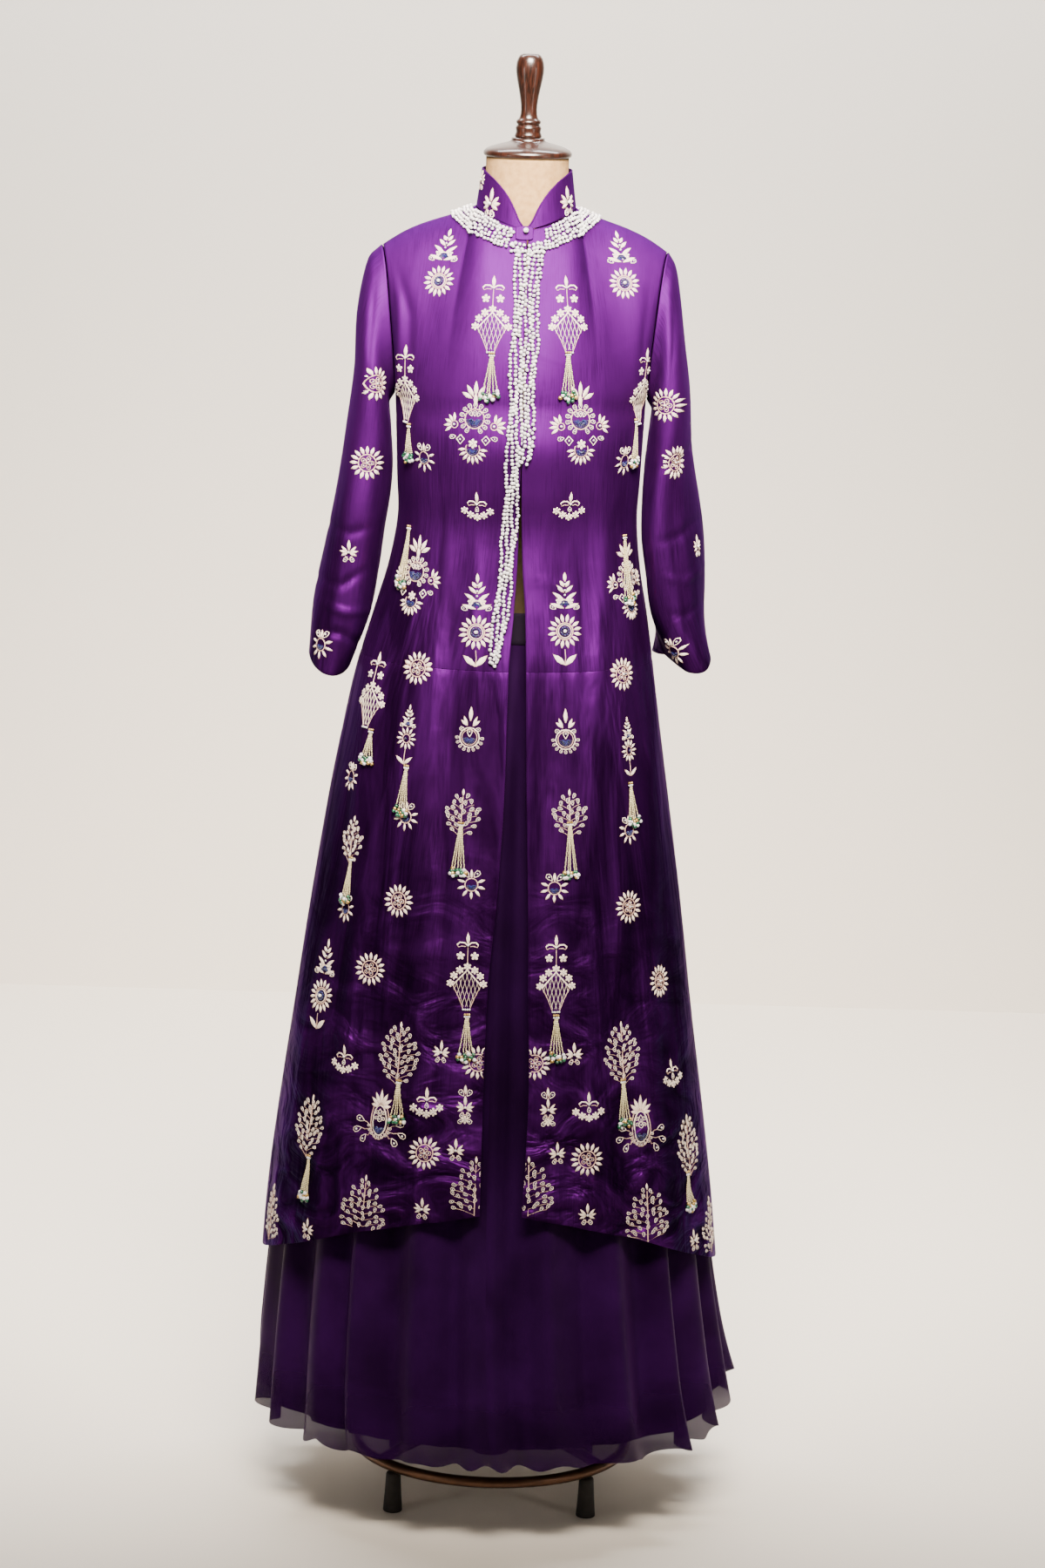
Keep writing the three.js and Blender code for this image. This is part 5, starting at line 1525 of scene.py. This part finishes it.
for row, distance in enumerate(NECK_ROWS):
    gone = 0.0
    last = None
    for step, line in enumerate(tracks):
        reach = 0.0
        spot = None
        for (a, _), (b, normal) in zip(line, line[1:]):
            reach += (b - a).length * 1000
            if reach >= distance:
                spot = (b, normal)
                break
        if spot is None:
            continue
        if last is not None:
            gone += (spot[0] - last).length * 1000
        last = spot[0]
        front_gap = row < 3 and (step < 21 or step > 348)
        if gone >= PEARL_STEP and not front_gap and random.uniform() > 0.02:
            gone = 0.0
            add_pearl(*spot, lift=random.uniform(0, 0.7))
STRANDS = [
    # how far the strand lies to the side at each of these heights, down to its end
    ((1583, -10), (1470, -12), (1335, -13.5), (1217, -18), (1165, -22.5), (1087, -29)),
    ((1583, -5), (1470, -7.2), (1335, -8.8), (1217, -13), (1165, -17.5), (1087, -25)),
    ((1583, 0), (1470, -2.5), (1335, -4.2), (1217, -8), (1165, -12.5), (1084, -21)),
    ((1583, 5), (1470, 2.2), (1335, 0.2), (1217, -3), (1165, -7.5), (1092, -17)),
    ((1587, 10.5), (1470, 7), (1333, 5)),
    ((1587, 15.5), (1470, 11.8), (1331, 9.4)),
    ((1587, 20.5), (1470, 16.6), (1338, 13.8)),
]
for strand in STRANDS:
    table = np.array(strand[::-1], float)
    z = table[-1, 0]
    wander = random.uniform(0, 6.28)
    under = None
    while z > table[0, 0]:
        x = along(table, 1, z) + 1.5 * math.sin(z / 17 + wander) + random.uniform(-1.1, 1.1)
        in_front = Vector((x / 1000, -1, z / 1000))
        hit, normal, _, _ = jacket.ray_cast(in_front, Vector((0, 1, 0)), 0.98)
        if hit is not None:
            under = (hit.y, normal if normal.y < 0 else -normal)
        if under is not None:  # a little past the front's edge it keeps the depth of the edge
            spot = Vector((x / 1000, under[0], z / 1000))
            add_pearl(spot, under[1], lift=random.uniform(0, 1.6))
        z -= PEARL_SIZE * random.uniform(0.94, 1.12)
mesh = mesh_of(pearls, "pearl_neckband_and_strands", pearl_coat)
mesh.shade_smooth()
add_object("pearl_neckband_and_strands", mesh, "pearl")
# The tab's button is a pearl too, 6.8 mm across.
bm = bmesh.new()
bmesh.ops.create_icosphere(
    bm, subdivisions=3, radius=0.0034, matrix=Matrix.Translation((0.0006, -0.0733, 1.609))
)
mesh = mesh_of(bm, "pearl_neck_button", pearl_coat)
mesh.shade_smooth()
add_object("pearl_neck_button", mesh, "pearl", "neck_button")

# ---------------------------------------------------------------- the tassels
# Each hangs from a motif: five strings of tiny gold beads from a beaded head, ending in a bunch
# of pearls with gold and green glass beads.
TASSELS = [
    # to the side, height and length
    (-36, 1463, 51), (55, 1466, 52), (-133, 1369, 41), (139, 1381, 52), (-130, 1243, 70),
    (130, 1239, 78), (-170, 996, 38), (-125, 960, 57), (146, 941, 47), (-57, 898, 61),
    (74, 900, 63), (-190, 839, 52), (-44, 667, 52), (64, 668, 52), (-124, 581, 48),
    (148, 583, 53), (-233, 469, 51), (233, 452, 45),
]


def draw_tassel(bm, length):
    """The head's six beads, then each string with its beads and what hangs at its end."""
    for x in (-2.6, 0, 2.6):
        bead(bm, x, 1, 1.6, GOLD, 0.8)
        bead(bm, x, -2, 1.5, PEARL, 0.8)
    for k in range(5):
        spread = (k - 2) * 3.3 + random.uniform(-0.8, 0.8)
        end = length - 4 - abs(k - 2) * 1.6 - random.uniform(0, 5)
        count = int(end / 1.7)
        for i in range(count):
            t = i / count
            x = (k - 2) * 0.8 + spread * t**1.2 + 0.25 * math.sin(i * 1.9)
            bead(bm, x, -3 - end * t, 0.85, STRING, 1.2)
        for i, kind in enumerate(random.permutation([PEARL, GOLD, GREEN, PEARL, GREEN])[:3]):
            x = (k - 2) * 0.8 + spread * (1 + 0.12 * i) + random.uniform(-1.6, 1.6)
            bead(bm, x, -3 - end - 1.5 - 3.2 * i, random.uniform(2.2, 2.8), int(kind), 1.2, 2)


for k, (x, z, length) in enumerate(TASSELS):
    name = f"beaded_tassel_{k + 1}"
    bm = bmesh.new()
    lay(bm, template_of(lambda flat: draw_tassel(flat, length)), x, z, jacket, -1)
    add_object(name, mesh_of(bm, name, *TRIM), "beads", f"tassel_{k + 1}")

# ---------------------------------------------------------------- the floor, the wall and the light
# A pale floor and wall, a broad light from above in front, and a weaker one from each side.
floor_paint, tree, shader = new_material("pale_floor", Roughness=0.6)
shader.inputs["Base Color"].default_value = linear("#d6cdc1")


def room_side(name, place):
    """A flat side of the room, 18 m across."""
    bm = bmesh.new()
    bmesh.ops.create_grid(bm, x_segments=1, y_segments=1, size=9, matrix=place)
    piece = bpy.data.objects.new(name, mesh_of(bm, name, floor_paint))
    bpy.context.collection.objects.link(piece)
    return piece


floor = room_side("floor", Matrix())
wall = room_side("wall", Matrix.Translation((0, 2.6, 4)) @ Matrix.Rotation(math.pi / 2, 4, "X"))


def add_light(name, spot, target, size, power, spread=180, colour="#ffffff"):
    """An area light that faces its target."""
    data = bpy.data.lights.new(name, "AREA")
    data.shape = "RECTANGLE"
    data.size, data.size_y = size
    data.energy = power
    data.spread = math.radians(spread)
    data.color = linear(colour)[:3]
    light = bpy.data.objects.new(name, data)
    light.location = spot
    light.rotation_euler = (Vector(target) - Vector(spot)).to_track_quat("-Z", "Y").to_euler()
    bpy.context.collection.objects.link(light)


add_light("key", (0.1, -1.7, 3.1), (0, -0.1, 1.64), (1.5, 1.1), 76, 50, "#fff4e6")
add_light("left", (-2.3, -2.0, 1.1), (0, 0, 0.75), (0.3, 1.6), 4.6, 90, "#fff6ee")
add_light("right", (2.4, -2.0, 1.1), (0, 0, 0.75), (0.3, 1.6), 4.2, 90, "#fff6ee")
add_light("backdrop", (0, 0.9, 3.6), (0, 2.6, 1.2), (3.5, 0.6), 360)
world = bpy.data.worlds.new("room")
bpy.context.scene.world = world
world.use_nodes = True
world.node_tree.nodes["Background"].inputs[0].default_value = linear("#efe9e2")
world.node_tree.nodes["Background"].inputs[1].default_value = 0.018
